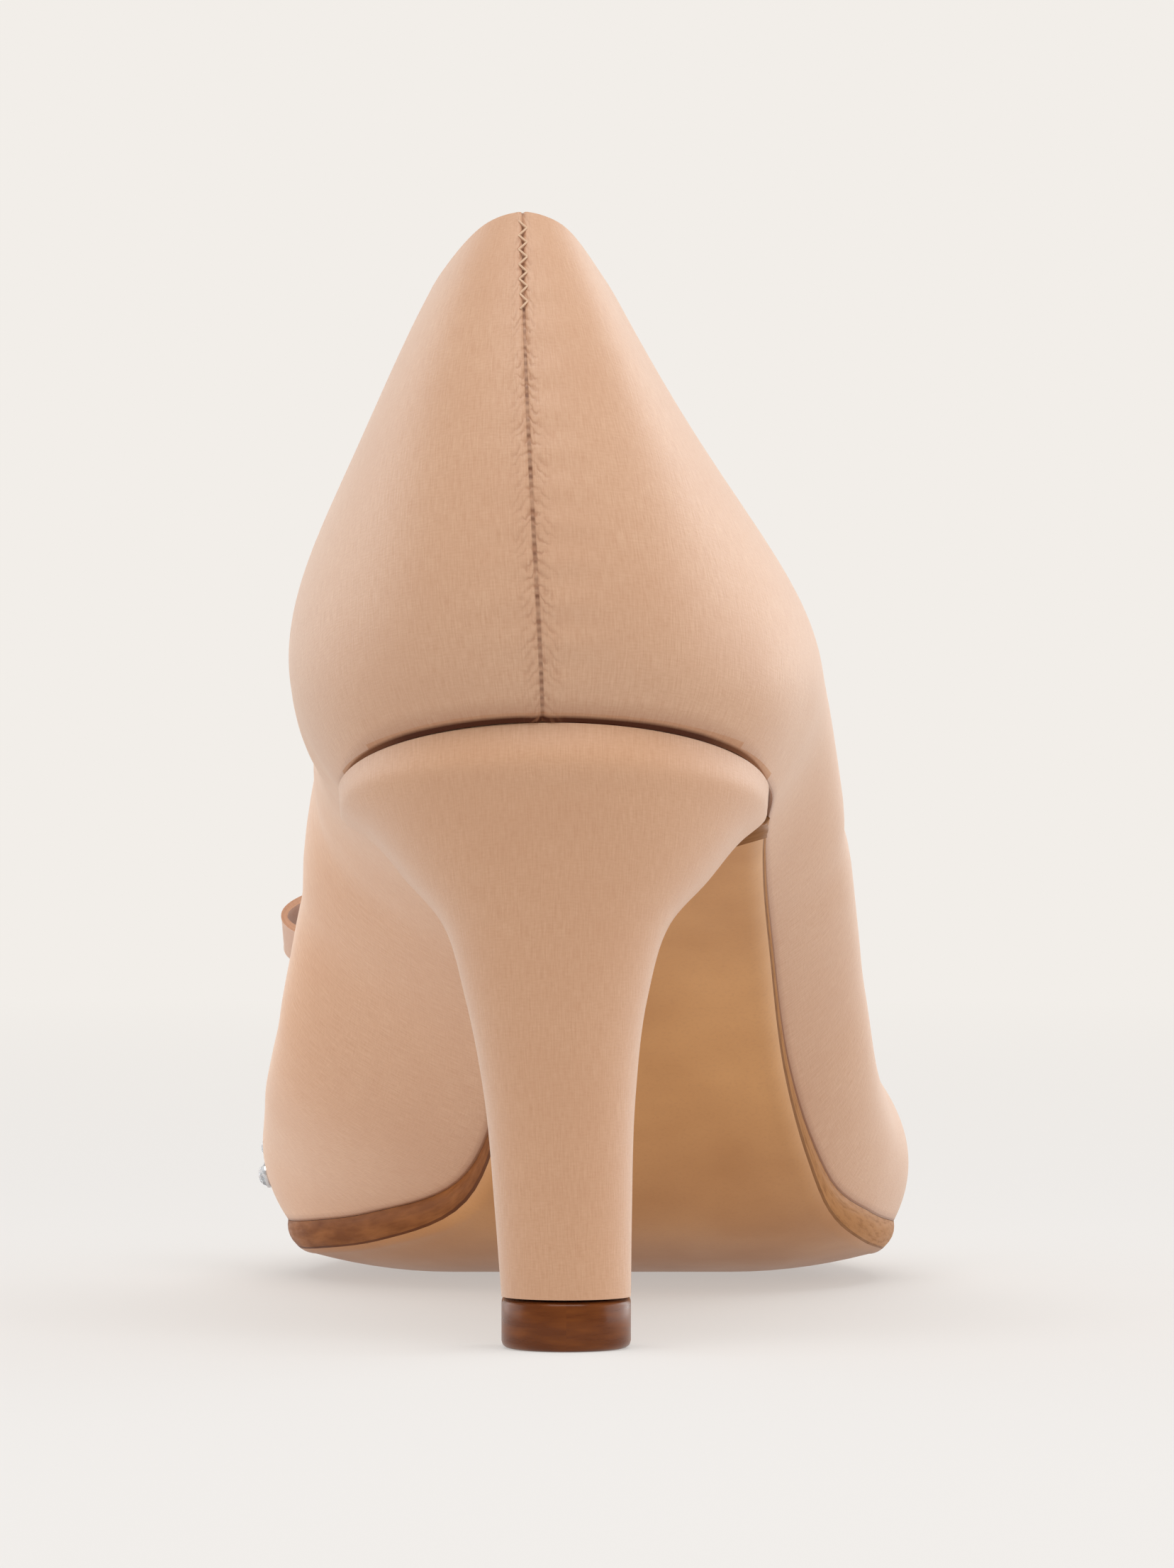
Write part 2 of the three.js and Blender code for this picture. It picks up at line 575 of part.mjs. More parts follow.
const BOW_REACH = REACH[THROAT] + ((BOW_ALONG - SECTIONS[THROAT].topAlong)
  / (SECTIONS[THROAT + 1].topAlong - SECTIONS[THROAT].topAlong)) * (REACH[THROAT + 1] - REACH[THROAT]);
const BOW_NORMAL = new THREE.Vector3(0, -Math.sin(BOW_SLOPE), Math.cos(BOW_SLOPE));
const BOW_FORWARD = new THREE.Vector3(0, Math.cos(BOW_SLOPE), Math.sin(BOW_SLOPE));
const BOW_CENTRE = topPoint(1, BOW_REACH).addScaledVector(BOW_NORMAL, KNOT.halfHeight + KNOT.lift);

function bowLoopGeometry(side) {
  const turns = LOOP.map((_, i) => i);
  const out = curveThrough(turns, LOOP.map((row) => row.out));
  const up = curveThrough(turns, LOOP.map((row) => row.up));
  const width = curveThrough(turns, LOOP.map((row) => row.width));
  const rows = evenSteps(0, LOOP.length - 1, LOOP_STEPS).map((turn) => {
    const from = Math.max(0, turn - TURN_STEP);
    const to = Math.min(LOOP.length - 1, turn + TURN_STEP);
    const run = out(to) - out(from);
    const climb = up(to) - up(from);
    const tilt = Math.hypot(run, climb);
    const face = new THREE.Vector3((-side * climb) / tilt, 0, 0).addScaledVector(BOW_NORMAL, run / tilt);
    const centre = BOW_CENTRE.clone().addScaledVector(BOW_NORMAL, up(turn) - BOW_DROOP * out(turn));
    centre.x += side * (KNOT.halfWidth + GAP + out(turn));
    const reach = width(turn) / 2;
    const bottom = evenSteps(-side * reach, side * reach, RIBBON_STEPS_ACROSS)
      .map((across) => centre.clone().addScaledVector(BOW_FORWARD, across));
    return { top: shifted(bottom, face, RIBBON_THICKNESS), bottom };
  });
  return slab(rows);
}

// A soft block: a sphere swollen towards its corners.
function bowKnotGeometry() {
  const geometry = welded(new THREE.SphereGeometry(1, KNOT_STEPS_ROUND, KNOT_STEPS_DOWN));
  const position = geometry.getAttribute('position');
  const swollen = (value) => Math.sign(value) * Math.abs(value) ** KNOT.swell;
  for (let i = 0; i < position.count; i += 1) {
    const place = BOW_CENTRE.clone();
    place.x += KNOT.halfWidth * swollen(position.getX(i));
    place.addScaledVector(BOW_FORWARD, -KNOT.halfLength * swollen(position.getZ(i)));
    place.addScaledVector(BOW_NORMAL, KNOT.halfHeight * swollen(position.getY(i)));
    position.setXYZ(i, place.x, place.y, place.z);
  }
  geometry.computeVertexNormals();
  return geometry;
}

// Stones: one row up each side of the vamp, from just above the sole to the bow.
function stoneGeometry() {
  const profile = [
    new THREE.Vector2(0, 0),
    new THREE.Vector2(STONE.base, 0),
    new THREE.Vector2(STONE.radius, STONE.girdle),
    new THREE.Vector2(STONE.table, STONE.height),
    new THREE.Vector2(0, STONE.height),
  ];
  return welded(new THREE.LatheGeometry(profile, STONE.sides).rotateX(Math.PI / 2));
}

function stonePlace(side, fraction) {
  const start = side > 0 ? STONE_ROW.lateralStart : STONE_ROW.medialStart;
  const reach = THREE.MathUtils.lerp(REACH[THROAT - 1] + start, BOW_REACH, fraction);
  const rise = THREE.MathUtils.lerp(STONE_ROW.lowRise, STONE_ROW.highRise, fraction);
  const section = wallCurve(side, reach);
  const spot = section.getPoint(rise);
  const climb = section.getPoint(rise + WALL_STEP).sub(spot);
  const run = wallCurve(side, reach + WALL_STEP).getPoint(rise).sub(spot);
  const normal = run.cross(climb).multiplyScalar(side).normalize();
  return { spot, normal };
}

// Assembly

function material(color, roughness, metalness = 0) {
  return new THREE.MeshStandardMaterial({ color, roughness, metalness });
}

function part(name, geometry, finish) {
  const mesh = new THREE.Mesh(geometry, finish);
  mesh.name = name;
  return mesh;
}

const SATIN = 0xd6b08f;
const RIBBON = 0xcba17f;
const SOLE_LEATHER = 0xb6865e;
const LINING = 0xd9c3ab;
const TIP = 0x693e1e;
const CRYSTAL = 0xdfe3e6;

const shoe = new THREE.Group();
shoe.add(part('upper', upperGeometry(), material(SATIN, 0.45)));
shoe.add(part('outsole', outsoleGeometry(), material(SOLE_LEATHER, 0.5)));
shoe.add(part('insole', insoleGeometry(), material(LINING, 0.7)));
shoe.add(part('heel', heelGeometry(), material(SATIN, 0.45)));
shoe.add(part('top_piece', topPieceGeometry(), material(TIP, 0.3)));
shoe.add(part('bow_loop_lateral', bowLoopGeometry(1), material(RIBBON, 0.45)));
shoe.add(part('bow_loop_medial', bowLoopGeometry(-1), material(RIBBON, 0.45)));
shoe.add(part('bow_knot', bowKnotGeometry(), material(RIBBON, 0.45)));
for (const [sideName, side] of [['lateral', 1], ['medial', -1]]) {
  for (let i = 0; i < STONES_PER_SIDE; i += 1) {
    const { spot, normal } = stonePlace(side, i / (STONES_PER_SIDE - 1));
    const stone = part(`stone_${sideName}_${i + 1}`, stoneGeometry(), material(CRYSTAL, 0.05));
    stone.position.copy(spot).addScaledVector(normal, STONE_GAP);
    stone.quaternion.setFromUnitVectors(new THREE.Vector3(0, 0, 1), normal);
    shoe.add(stone);
  }
}

// The origin lies on the floor under the middle of the shoe's box.
const middle = new THREE.Box3().setFromObject(shoe).getCenter(new THREE.Vector3());
shoe.position.set(-middle.x, -middle.y, 0);

const bowPump = new THREE.Group();
bowPump.add(shoe);
export default bowPump;
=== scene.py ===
"""Looks of a right-foot satin court shoe with a ribbon bow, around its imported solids.

Shoe sizes are in millimetres, measured as in the solids: along from the rearmost point of the heel cup,
across to the lateral side, height from the floor. place() turns them into the frame's metres.
"""
from math import copysign, cos, exp, hypot, pi, radians, sin, sqrt

import bpy
import numpy as np
from mathutils import Color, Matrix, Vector


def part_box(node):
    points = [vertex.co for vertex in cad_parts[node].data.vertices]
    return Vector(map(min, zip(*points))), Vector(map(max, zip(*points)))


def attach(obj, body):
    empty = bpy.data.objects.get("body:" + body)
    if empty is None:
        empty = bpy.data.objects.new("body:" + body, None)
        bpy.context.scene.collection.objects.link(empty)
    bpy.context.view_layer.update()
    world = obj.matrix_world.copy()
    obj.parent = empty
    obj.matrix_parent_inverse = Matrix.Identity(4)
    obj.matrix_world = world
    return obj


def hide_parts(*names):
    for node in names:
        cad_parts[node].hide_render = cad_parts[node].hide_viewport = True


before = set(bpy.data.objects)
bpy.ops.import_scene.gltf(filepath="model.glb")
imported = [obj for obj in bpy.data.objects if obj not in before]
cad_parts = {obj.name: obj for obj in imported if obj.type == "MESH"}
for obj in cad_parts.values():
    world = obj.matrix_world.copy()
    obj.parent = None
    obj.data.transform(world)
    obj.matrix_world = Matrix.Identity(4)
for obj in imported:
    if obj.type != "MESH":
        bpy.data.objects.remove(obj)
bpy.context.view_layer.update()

# Sizes shared with the solids
WALL = 1.8
GAP = 0.3
INSOLE_THICKNESS = 1.5
TOP_PIECE_HEIGHT = 5.5
TOP_PIECE_MIDDLE = (0.0, 20.0)
BREAST_FRONT = 27.1
BREAST_RADIUS = 12
BREAST_SPRING = 44.3
BREAST_THICKNESS = 1.6
BREAST_JOIN = radians(64)
BREAST_START = radians(76)
CAMBER_START = 0.5
BOW_ALONG = 159
BOW_SLOPE = radians(-17)
BOW_DROOP = 0.02
KNOT_HALF = (5, 6.2, 4)
KNOT_LIFT = 0.45
STONES_PER_SIDE = 8
STONE_GAP = 0.1
STONE_START = {1: 7.5, -1: 1.5}
STONE_LOW_RISE = 0.13
STONE_HIGH_RISE = 0.66

# Looks only: edges and joints
RIBBON_THICKNESS = 0.7
TOPLINE_ROLL = 0.25
FEATHER_ROLL = 0.15
SEAT_JOINT = 0.05
LINING_INSET_MOST = 4.5
SOCK_BULGE = 0.1
INSOLE_ENDS = (0.985, 0.015)
TOE_CLOSE = 0.06
TOE_ROUND = 14
TOE_CROWDING = 1.5
EDGE_BULGE = 0.15

# Back seam: its groove, the ridge beside it, its thread with painted shade of groove and stitch holes,
# and the puckers it pulls, with painted shade in their troughs
SEAM_WIDTH = 0.35
SEAM_DEPTH = 0.2
SEAM_LINE = 0.27
SEAM_RIDGE = 0.1
SEAM_RIDGE_ASIDE = 1.1
SEAM_RIDGE_WIDTH = 0.8
STITCH_PITCH = 0.95
PULL_DEPTH = {1: 0.1, -1: 0.05}
PULL_PITCH = 4.3
PULL_ASIDE = 2.4
PULL_WIDTH = 2.6
PULL_RISE = 8
PULL_SWAY = 0.6
PULL_SWAY_LENGTH = 5
PUCKER_PITCH = 1.35
PUCKER_REACH = 2.3
PUCKER_SHARE = 3.0
PUCKER_SHADE = 0.55
PUCKER_STRAY = 3.6
ZIGZAG_TOP = 0.985
ZIGZAG_LENGTH = 9
ZIGZAG_TURNS = 6
ZIGZAG_HALF_WIDTH = 0.95
ZIGZAG_NARROWING = 0.45
THREAD_RADIUS = 0.12
THREAD_SAG = 0.16

# Unevenness of cloth drawn over the last: depth, lengths of two waves, and how soon it starts
DRAWN_DEPTH = 0.12
DRAWN_UP = (7.5, 19)
DRAWN_ACROSS = (31, 13)
CALM_RISE = 6
CALM_REACH = 8

# Dark line where the satin meets heel and sole, a dark joint with painted shade of the groove
# under the satin's edge: width at the seat and forward, and where it narrows
SEAT_LINE = 0.95
JOINT_LINE = 0.3
SEAT_LINE_ENDS = (18, 36)

# Soft creases drawn in the satin: side, along, height, half width, half length, lean, depth
CREASES = [
    (-1, 84, 56, 3.4, 13, 0.35, 0.7),
    (-1, 97, 44, 3.8, 10, 0.3, 0.5),
    (-1, 112, 30, 4.2, 8, 0.25, 0.2),
    (-1, 62, 62, 4.2, 9, 0.8, 0.4),
    (1, 78, 58, 4.2, 12, 0.4, 0.4),
    (1, 101, 36, 4.6, 9, 0.3, 0.12),
]

# Ribbon: pleats gathered at the knot, the selvage along each edge, and the knot's own wrap
PLEATS = 3
PLEAT_DEPTH = 0.75
PLEAT_REACH = 22
PLEAT_SHIFT = 0.7
SELVAGE = 0.08
SELVAGE_AT = 0.96
SELVAGE_WIDTH = 0.05
KNOT_SWELL = 0.7
KNOT_PLEAT = 0.035
KNOT_PLEATS = 10.5
KNOT_WANDER = 0.5

# Colours as seen: red, green and blue out of 255
COLOURS = dict(
    satin=(219, 178, 146),
    satin_deep=(204, 157, 125),
    heel_satin=(219, 174, 139),
    heel_satin_deep=(206, 156, 121),
    ribbon=(206, 160, 130),
    ribbon_deep=(184, 136, 106),
    sheen=(255, 246, 238),
    seat_shadow=(150, 96, 66),
    # Back seam's dark line: thread with painted shade of its groove and stitch holes
    seam=(116, 70, 42),
    # Painted shade in the troughs of the seam's puckers
    pucker=(168, 116, 84),
    # Dark line round the heel seat: a dark joint with painted shade of the groove under the satin
    seat_joint_shade=(66, 24, 6),
    joint_line=(146, 90, 50),
    lining=(232, 206, 180),
    lining_deep=(218, 186, 156),
    underside=(210, 153, 93),
    underside_deep=(192, 135, 77),
    underside_grain=(160, 108, 62),
    # Painted shade of the underside near the floor, towards the forefoot
    tread_shade=(130, 68, 24),
    edge=(150, 94, 50),
    edge_deep=(114, 64, 28),
    # Lateral edge colours are lighter by painted light on the lit side
    edge_lateral=(186, 132, 80),
    edge_line=(104, 58, 26),
    edge_line_deep=(86, 44, 18),
    edge_line_lateral=(150, 102, 58),
    edge_fibre=(100, 56, 24),
    tip=(104, 51, 12),
    tip_streak=(128, 68, 20),
    stone=(236, 240, 244),
    silver=(222, 222, 224),
    thread=(222, 188, 158),
    floor=(242, 238, 233),
    studio=(250, 246, 242),
)
SHEEN = 0.45
GLOSS = 0.5

# Where painted shade darkens the sole's underside towards the forefoot, along the frame in metres
TREAD_SHADE_START = -0.02
TREAD_SHADE_END = 0.05

# Floor in metres: its glow and tone near the shoe, where it goes even, its size and its sweep
FLOOR_GLOW = 0.5
FLOOR_TONE = (0.37, 0.368, 0.368, 1)
FLOOR_FADE = (0.25, 0.9)
FLOOR_HALF_WIDTH = 3.0
FLOOR_FRONT = -4.0
FLOOR_BACK = 1.6
SWEEP_RADIUS = 1.2
SWEEP_TOP = 4.0
SWEEP_STEPS = 24

# Lights in metres, degrees and watts: place, size and power of each softbox, and one narrow spot
LIGHT_AIM = (0, 0, 0.06)
SOFTBOXES = dict(
    top_softbox=((0, -0.6, 1.4), (1.4, 1.0), 14.5),
    left_softbox=((-1.0, 0.5, 0.3), (1.2, 0.5), 2.5),
    right_softbox=((1.0, 0.45, 0.2), (1.6, 0.9), 8.5),
)
KICK_PLACE = (-0.75, -0.18, 0.07)
KICK_AIM = (-0.036, 0.02, 0.03)
KICK_CONE = 9
KICK_POWER = 24
KICK_SOFTNESS = 0.08
STUDIO_STRENGTH = 0.5

# Camera: its place relative to the shoe is the photograph's, and the lens frames the one shoe
CAMERA_BACK = 1400
CAMERA_HEIGHT = 94
AIM = (2.3, 12, 62.9)
FRAME_HEIGHT = 173
SENSOR = 36
CAMERA_FAR = 50

# The bottom of the last from heel to toe: height, the sole's thickness and the rise of its edges
PROFILE = dict(
    along=[0, 24, 48, 64, 75, 86, 97, 108, 119, 130, 142, 154, 166, 178, 190, 205, 230],
    seat=[70.9, 64.1, 57.2, 49.6, 43.6, 36.4, 28.0, 19.2, 11.6, 7.6, 5.4, 4.5, 4.0, 4.0, 4.9, 6.8, 10.4],
    sole=[2.2, 2.2, 2.2, 2.3, 2.4, 2.6, 2.9, 3.4, 3.8, 4.0, 4.0, 4.0, 4.0, 4.0, 4.0, 3.9, 3.8],
    camber=[0, 0, 0, 0, 0, 0, 0, 0.2, 0.7, 1.4, 2.0, 2.4, 2.6, 2.6, 2.3, 2.0, 1.2],
)

# Sections of the last from the back seam to the toe, column by column
SECTIONS = dict(
    along=[3.6, 6.4, 15, 33, 52, 75, 98, 115, 130, 146, 156, 165, 182, 202, 219, 227.6],
    lateral=[-2.6, 8.8, 17.8, 22.9, 22.5, 23.6, 26.2, 30.8, 36.6, 39.6, 39.2, 37.6, 33, 24.6, 13.8, -1.2],
    medial=[-2.6, -11.9, -20.5, -24.9, -20, -11.2, -7.8, -11.8, -23.6, -32.8, -33.8, -33, -29.8, -23.6,
            -14.8, -1.2],
    top_along=[16.6, 19, 27, 40, 56, 78, 99.5, 116, 131.5, 144, 150.6, 153, 167, 186, 204, 214],
    top_height=[126, 124.7, 119.1, 109.7, 97.3, 79.4, 62, 49.6, 42.8, 40.8, 40.2, 39.8, 35, 28.6, 22.9, 19.8],
    top_lateral=[-4.8, -0.4, 4, 9.4, 17.2, 25.2, 27, 25.8, 22.4, 16, 8, -0.2, -0.1, -0.3, -0.8, -1.2],
    top_medial=[-4.8, -9.1, -14.1, -18.2, -24.9, -28.2, -27, -23.8, -19, -13.6, -8, -0.2, -0.1, -0.3,
                -0.8, -1.2],
    facing=[0, 36, 66, 88, 90, 90, 88, 78, 76, 84, 94, 102, 111, 122, 140, 180],
    flare_lateral=[37, 37, 40, 35, 43.5, 57.5, 53, 41.5, 30.5, 27, 25, 22, 16, 12, 10, 8],
    flare_medial=[37, 37, 38, 38.5, 52, 64, 69, 68, 56, 35, 33, 23, 16, 12, 10, 8],
    belly_lateral=[12, 12, 14, 22, 23.2, 21.3, 19.2, 18.6, 15.4, 15, 16, 15, 13, 10, 8, 6.5],
    belly_medial=[12, 12, 10.8, 17.4, 20.6, 23.6, 33, 39.6, 30.4, 18.6, 16.2, 15, 13, 10, 8, 6.5],
    tuck=[35, 34, 30, 29, 21, 5, 19, 30, 44, 62, 78, 90, 90, 90, 90, 90],
    crown=[26, 26, 25, 24, 20, 16, 16, 16, 16, 18, 20, 22, 20, 17, 12, 8.5],
)
THROAT = 11
TOE = len(SECTIONS["along"]) - 1
GRADE_STEP = 0.5

# Levels of the heel: back along, back height, front along, front height, middle, half width, round
HEEL_LEVELS = [
    (12.9, 5.8, 25.2, 5.8, 0, 7.2, 8),
    (11.8, 15, 25.2, 15, -0.3, 7.6, 8.6),
    (10.1, 28, 25.2, 28, -0.7, 8.4, 9.6),
    (8.2, 40, 25.2, 39, -1.1, 10.2, 11),
    (6.4, 49, 25.5, 47, -1.1, 12.7, 13.5),
    (4.7, 56, 27, 51.7, -1, 16.8, 18),
    (3.1, 62, 31, 56, -1.1, 20.6, 23),
    (2.3, 65.9, 35.9, 58.15, -1.4, 23.6, 28),
    (3.7, 69.5, 40.4, 59.1, -1.4, 24.1, 29),
]

# The sole's bevel: its width in, and the upright band's share of the thickness
BEVEL = dict(
    along=[40, 80, 105, 130, 230],
    width=[2.4, 2.6, 2.8, 3.0, 2.2],
    band=[0.2, 0.22, 0.45, 0.78, 0.8],
)

# The flap down the front of the heel: its middle and half width by height
BREAST = dict(
    height=[5.8, 18, 30, 40, 47, 51.6, 55.2, 56.3],
    middle=[0, -0.4, -0.8, -1.1, -1.1, -1, -0.4, 0.4],
    half=[7.1, 7.6, 8.5, 10.1, 11.9, 14.7, 18.9, 22.2],
)

# One loop of the bow: out from the knot, up, and the ribbon's width there
LOOP = dict(
    out=[0, 5.8, 13.4, 21.2, 26.7, 28.4, 25.9, 19.4, 11.5, 4.6, 0],
    up=[1.3, 4, 4.6, 3.6, 1.8, 0, -1.7, -2.7, -2.9, -2, -1.3],
    width=[8.4, 11, 13.6, 14.8, 15, 15, 15, 14.6, 13.4, 11, 8.4],
)

top_piece_low, top_piece_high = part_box("top_piece")
ORIGIN = Vector([(top_piece_low[axis] + top_piece_high[axis]) / 2 - TOP_PIECE_MIDDLE[axis] / 1000
                 for axis in (0, 1)] + [0])


def place(point):
    return Vector(point) / 1000 + ORIGIN


def add_object(name, data):
    thing = bpy.data.objects.new(name, data)
    bpy.context.scene.collection.objects.link(thing)
    return thing


# Curves through tables

def slopes_through(knots, values, limit):
    spans = [after - before for before, after in zip(knots, knots[1:])]
    grades = [(after - before) / span for before, after, span in zip(values, values[1:], spans)]
    slopes = [grades[0]]
    for first, second, before, after in zip(grades, grades[1:], spans, spans[1:]):
        mean = (first * after + second * before) / (before + after)
        if limit:
            most = 3 * min(abs(first), abs(second)) if first * second > 0 else 0
            mean = copysign(min(abs(mean), most), mean)
        slopes.append(mean)
    return slopes + [grades[-1]]


def curve_through(knots, values, limit=False):
    slopes = slopes_through(knots, values, limit)

    def at(knot):
        i = 0
        while i < len(knots) - 2 and knot > knots[i + 1]:
            i += 1
        span = knots[i + 1] - knots[i]
        t = (knot - knots[i]) / span
        rise = values[i + 1] - values[i]
        start = slopes[i] * span - rise
        end = rise - slopes[i + 1] * span
        return values[i] + t * (rise + (1 - t) * (start * (1 - t) + end * t))
    return at


def curves_of(table, by, *names):
    """Curves through some columns of a table, against another column."""
    return [curve_through(table[by], table[name], True) for name in names]


seat_height, sole_thickness, sole_camber = curves_of(PROFILE, "along", "seat", "sole", "camber")


# The last

def reach_table():
    reach = [0.0]
    for i in range(1, TOE + 1):
        along = SECTIONS["along"][i] - SECTIONS["along"][i - 1]
        lateral = hypot(SECTIONS["lateral"][i] - SECTIONS["lateral"][i - 1], along)
        medial = hypot(SECTIONS["medial"][i] - SECTIONS["medial"][i - 1], along)
        reach.append(reach[-1] + (lateral + medial) / 2)
    return reach


REACH = reach_table()


def round_curve(lateral, medial, last):
    """A closed curve out along the lateral values and home along the medial ones."""
    turn = REACH[last]
    knots = REACH[:last + 1] + [2 * turn - r for r in reversed(REACH[:last])]
    values = list(lateral[:last + 1]) + list(reversed(medial[:last]))
    knots = [knots[-2] - 2 * turn] + knots + [knots[1] + 2 * turn]
    values = [values[-2]] + values + [values[1]]
    curve = curve_through(knots, values)
    return lambda side, reach: curve(reach if side > 0 else 2 * turn - reach)


def section_curve(lateral, medial=None, last=TOE):
    return round_curve(SECTIONS[lateral], SECTIONS[medial or lateral], last)


FACING = [radians(angle) for angle in SECTIONS["facing"]]
feather_across = section_curve("lateral", "medial")
feather_along = section_curve("along")
out_across = round_curve([sin(a) for a in FACING], [-sin(a) for a in FACING], TOE)
out_along = round_curve([-cos(a) for a in FACING], [-cos(a) for a in FACING], TOE)
wall_flare = section_curve("flare_lateral", "flare_medial")
wall_belly = section_curve("belly_lateral", "belly_medial")
wall_tuck = section_curve("tuck")
wall_crown = section_curve("crown")
topline = [
    section_curve("top_lateral", "top_medial", THROAT),
    section_curve("top_along", last=THROAT),
    section_curve("top_height", last=THROAT),
]
ridge = [
    curve_through(REACH[THROAT:], SECTIONS[name][THROAT:])
    for name in ("top_lateral", "top_along", "top_height")
]


def feather_point(side, reach):
    along = feather_along(side, reach)
    return Vector((feather_across(side, reach), along, seat_height(along) + sole_camber(along)))


def outward_at(side, reach):
    return Vector((out_across(side, reach), out_along(side, reach), 0)).normalized()


def top_point(side, reach):
    if reach >= REACH[THROAT]:
        return Vector([curve(reach) for curve in ridge])
    return Vector([curve(side, reach) for curve in topline])


def ridge_grade(reach):
    if reach < REACH[THROAT]:
        return 0
    _, along, height = ridge
    start = min(reach, REACH[TOE] - GRADE_STEP)
    rise = height(start + GRADE_STEP) - height(start)
    return rise / (along(start + GRADE_STEP) - along(start))


def wall_controls(side, reach):
    low = feather_point(side, reach)
    high = top_point(side, reach)
    out = outward_at(side, reach)
    up = Vector((0, 0, 1))
    flare = radians(wall_flare(side, reach))
    tuck = radians(wall_tuck(side, reach))
    inward = Vector((out.x, out.y, out.y * ridge_grade(reach))).normalized()
    leave = up * cos(flare) + out * sin(flare)
    arrive = up * cos(tuck) - inward * sin(tuck)
    return low, low + leave * wall_belly(side, reach), high - arrive * wall_crown(side, reach), high


def on_wall(controls, t):
    a, b, c, d = controls
    s = 1 - t
    return a * (s * s * s) + b * (3 * s * s * t) + c * (3 * s * t * t) + d * (t * t * t)


# Mesh helpers

SMOOTH_ANGLE = radians(42)


def make_mesh(name, points, faces, materials):
    mesh = bpy.data.meshes.new(name)
    mesh.from_pydata(points, [], faces)
    mesh.polygons.foreach_set("use_smooth", [True] * len(faces))
    for material in materials:
        mesh.materials.append(material)
    return mesh


def make_piece(name, points, faces, materials, slot, kinds=None, uvs=None, sharp=SMOOTH_ANGLE):
    """A mesh piece on the shoe's body. kinds gives each face's material, uvs each corner's place in
    millimetres."""
    mesh = make_mesh(name, [place(p) for p in points], faces, materials)
    if kinds is not None:
        mesh.polygons.foreach_set("material_index", kinds)
    if uvs is not None:
        layer = mesh.uv_layers.new(name="UVMap")
        layer.data.foreach_set("uv", [v for corner in uvs for v in corner])
    mesh.set_sharp_from_angle(angle=sharp)
    piece = add_object(name, mesh)
    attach(piece, "root")
    return piece


def point_normals(points, faces):
    places = np.array([tuple(p) for p in points])
    normals = np.zeros_like(places)
    for face in faces:
        corners = places[list(face)]
        turn = np.cross(corners[2] - corners[0], corners[-1] - corners[1])
        for index in face:
            normals[index] += turn
    lengths = np.linalg.norm(normals, axis=1, keepdims=True)
    return [Vector(n) for n in normals / np.maximum(lengths, 1e-9)]


def lofted(loops):
    """Points, faces, and each face's row and step, of a capped tube through matching closed loops."""
    count = len(loops[0])
    points = [p for loop in loops for p in loop]
    steps = [(row, i) for row in range(len(loops) - 1) for i in range(count)]
    faces = []
    for row, i in steps:
        a, b = row * count + i, row * count + (i + 1) % count
        faces.append((a, b, b + count, a + count))
    faces.append(tuple(reversed(range(count))))
    faces.append(tuple(range(len(points) - count, len(points))))
    return points, faces, steps + [(0, -1), (len(loops) - 1, -1)]


def lengths_along(path):
    lengths = [0.0]
    for before, after in zip(path, path[1:]):
        lengths.append(lengths[-1] + (after - before).length)
    return lengths


def loop_uvs(points, faces, steps, loops, both_ways=False):
    """Each corner's place round its loop and along the piece, in millimetres: round by the middle loop's
    measure, or with both_ways by its own, out from its start."""
    count = len(loops[0])
    measured = loops if both_ways else [loops[len(loops) // 2]] * len(loops)
    lengths = [lengths_along(loop + loop[:1]) for loop in measured]
    along_at = lengths_along([loop[count // 4] for loop in loops])

    def corner(row, step):
        own = lengths[row]
        home = own[-1] if both_ways and step > count // 2 else 0
        return (own[step] - home, along_at[row])
    uvs = []
    for face, (row, step) in zip(faces, steps):
        if step < 0:
            uvs += [(points[i].x, points[i].y) for i in face]
        else:
            uvs += [corner(row, step), corner(row, step + 1)]
            uvs += [corner(row + 1, step + 1), corner(row + 1, step)]
    return uvs


def loft_piece(name, loops, materials, slot, kinds_of=None, both_ways=False):
    """A piece through matching closed loops, with places in millimetres for its grain."""
    points, faces, steps = lofted(loops)
    kinds = kinds_of(steps) if kinds_of else None
    uvs = loop_uvs(points, faces, steps, loops, both_ways)
    return make_piece(name, points, faces, materials, slot, kinds, uvs)


def even_steps(start, end, count):
    return [start + (end - start) * i / count for i in range(count + 1)]


# Materials

def tone(name):
    """A named colour as the shader takes it, linear and with alpha."""
    return (*Color([value / 255 for value in COLOURS[name]]).from_srgb_to_scene_linear(), 1)


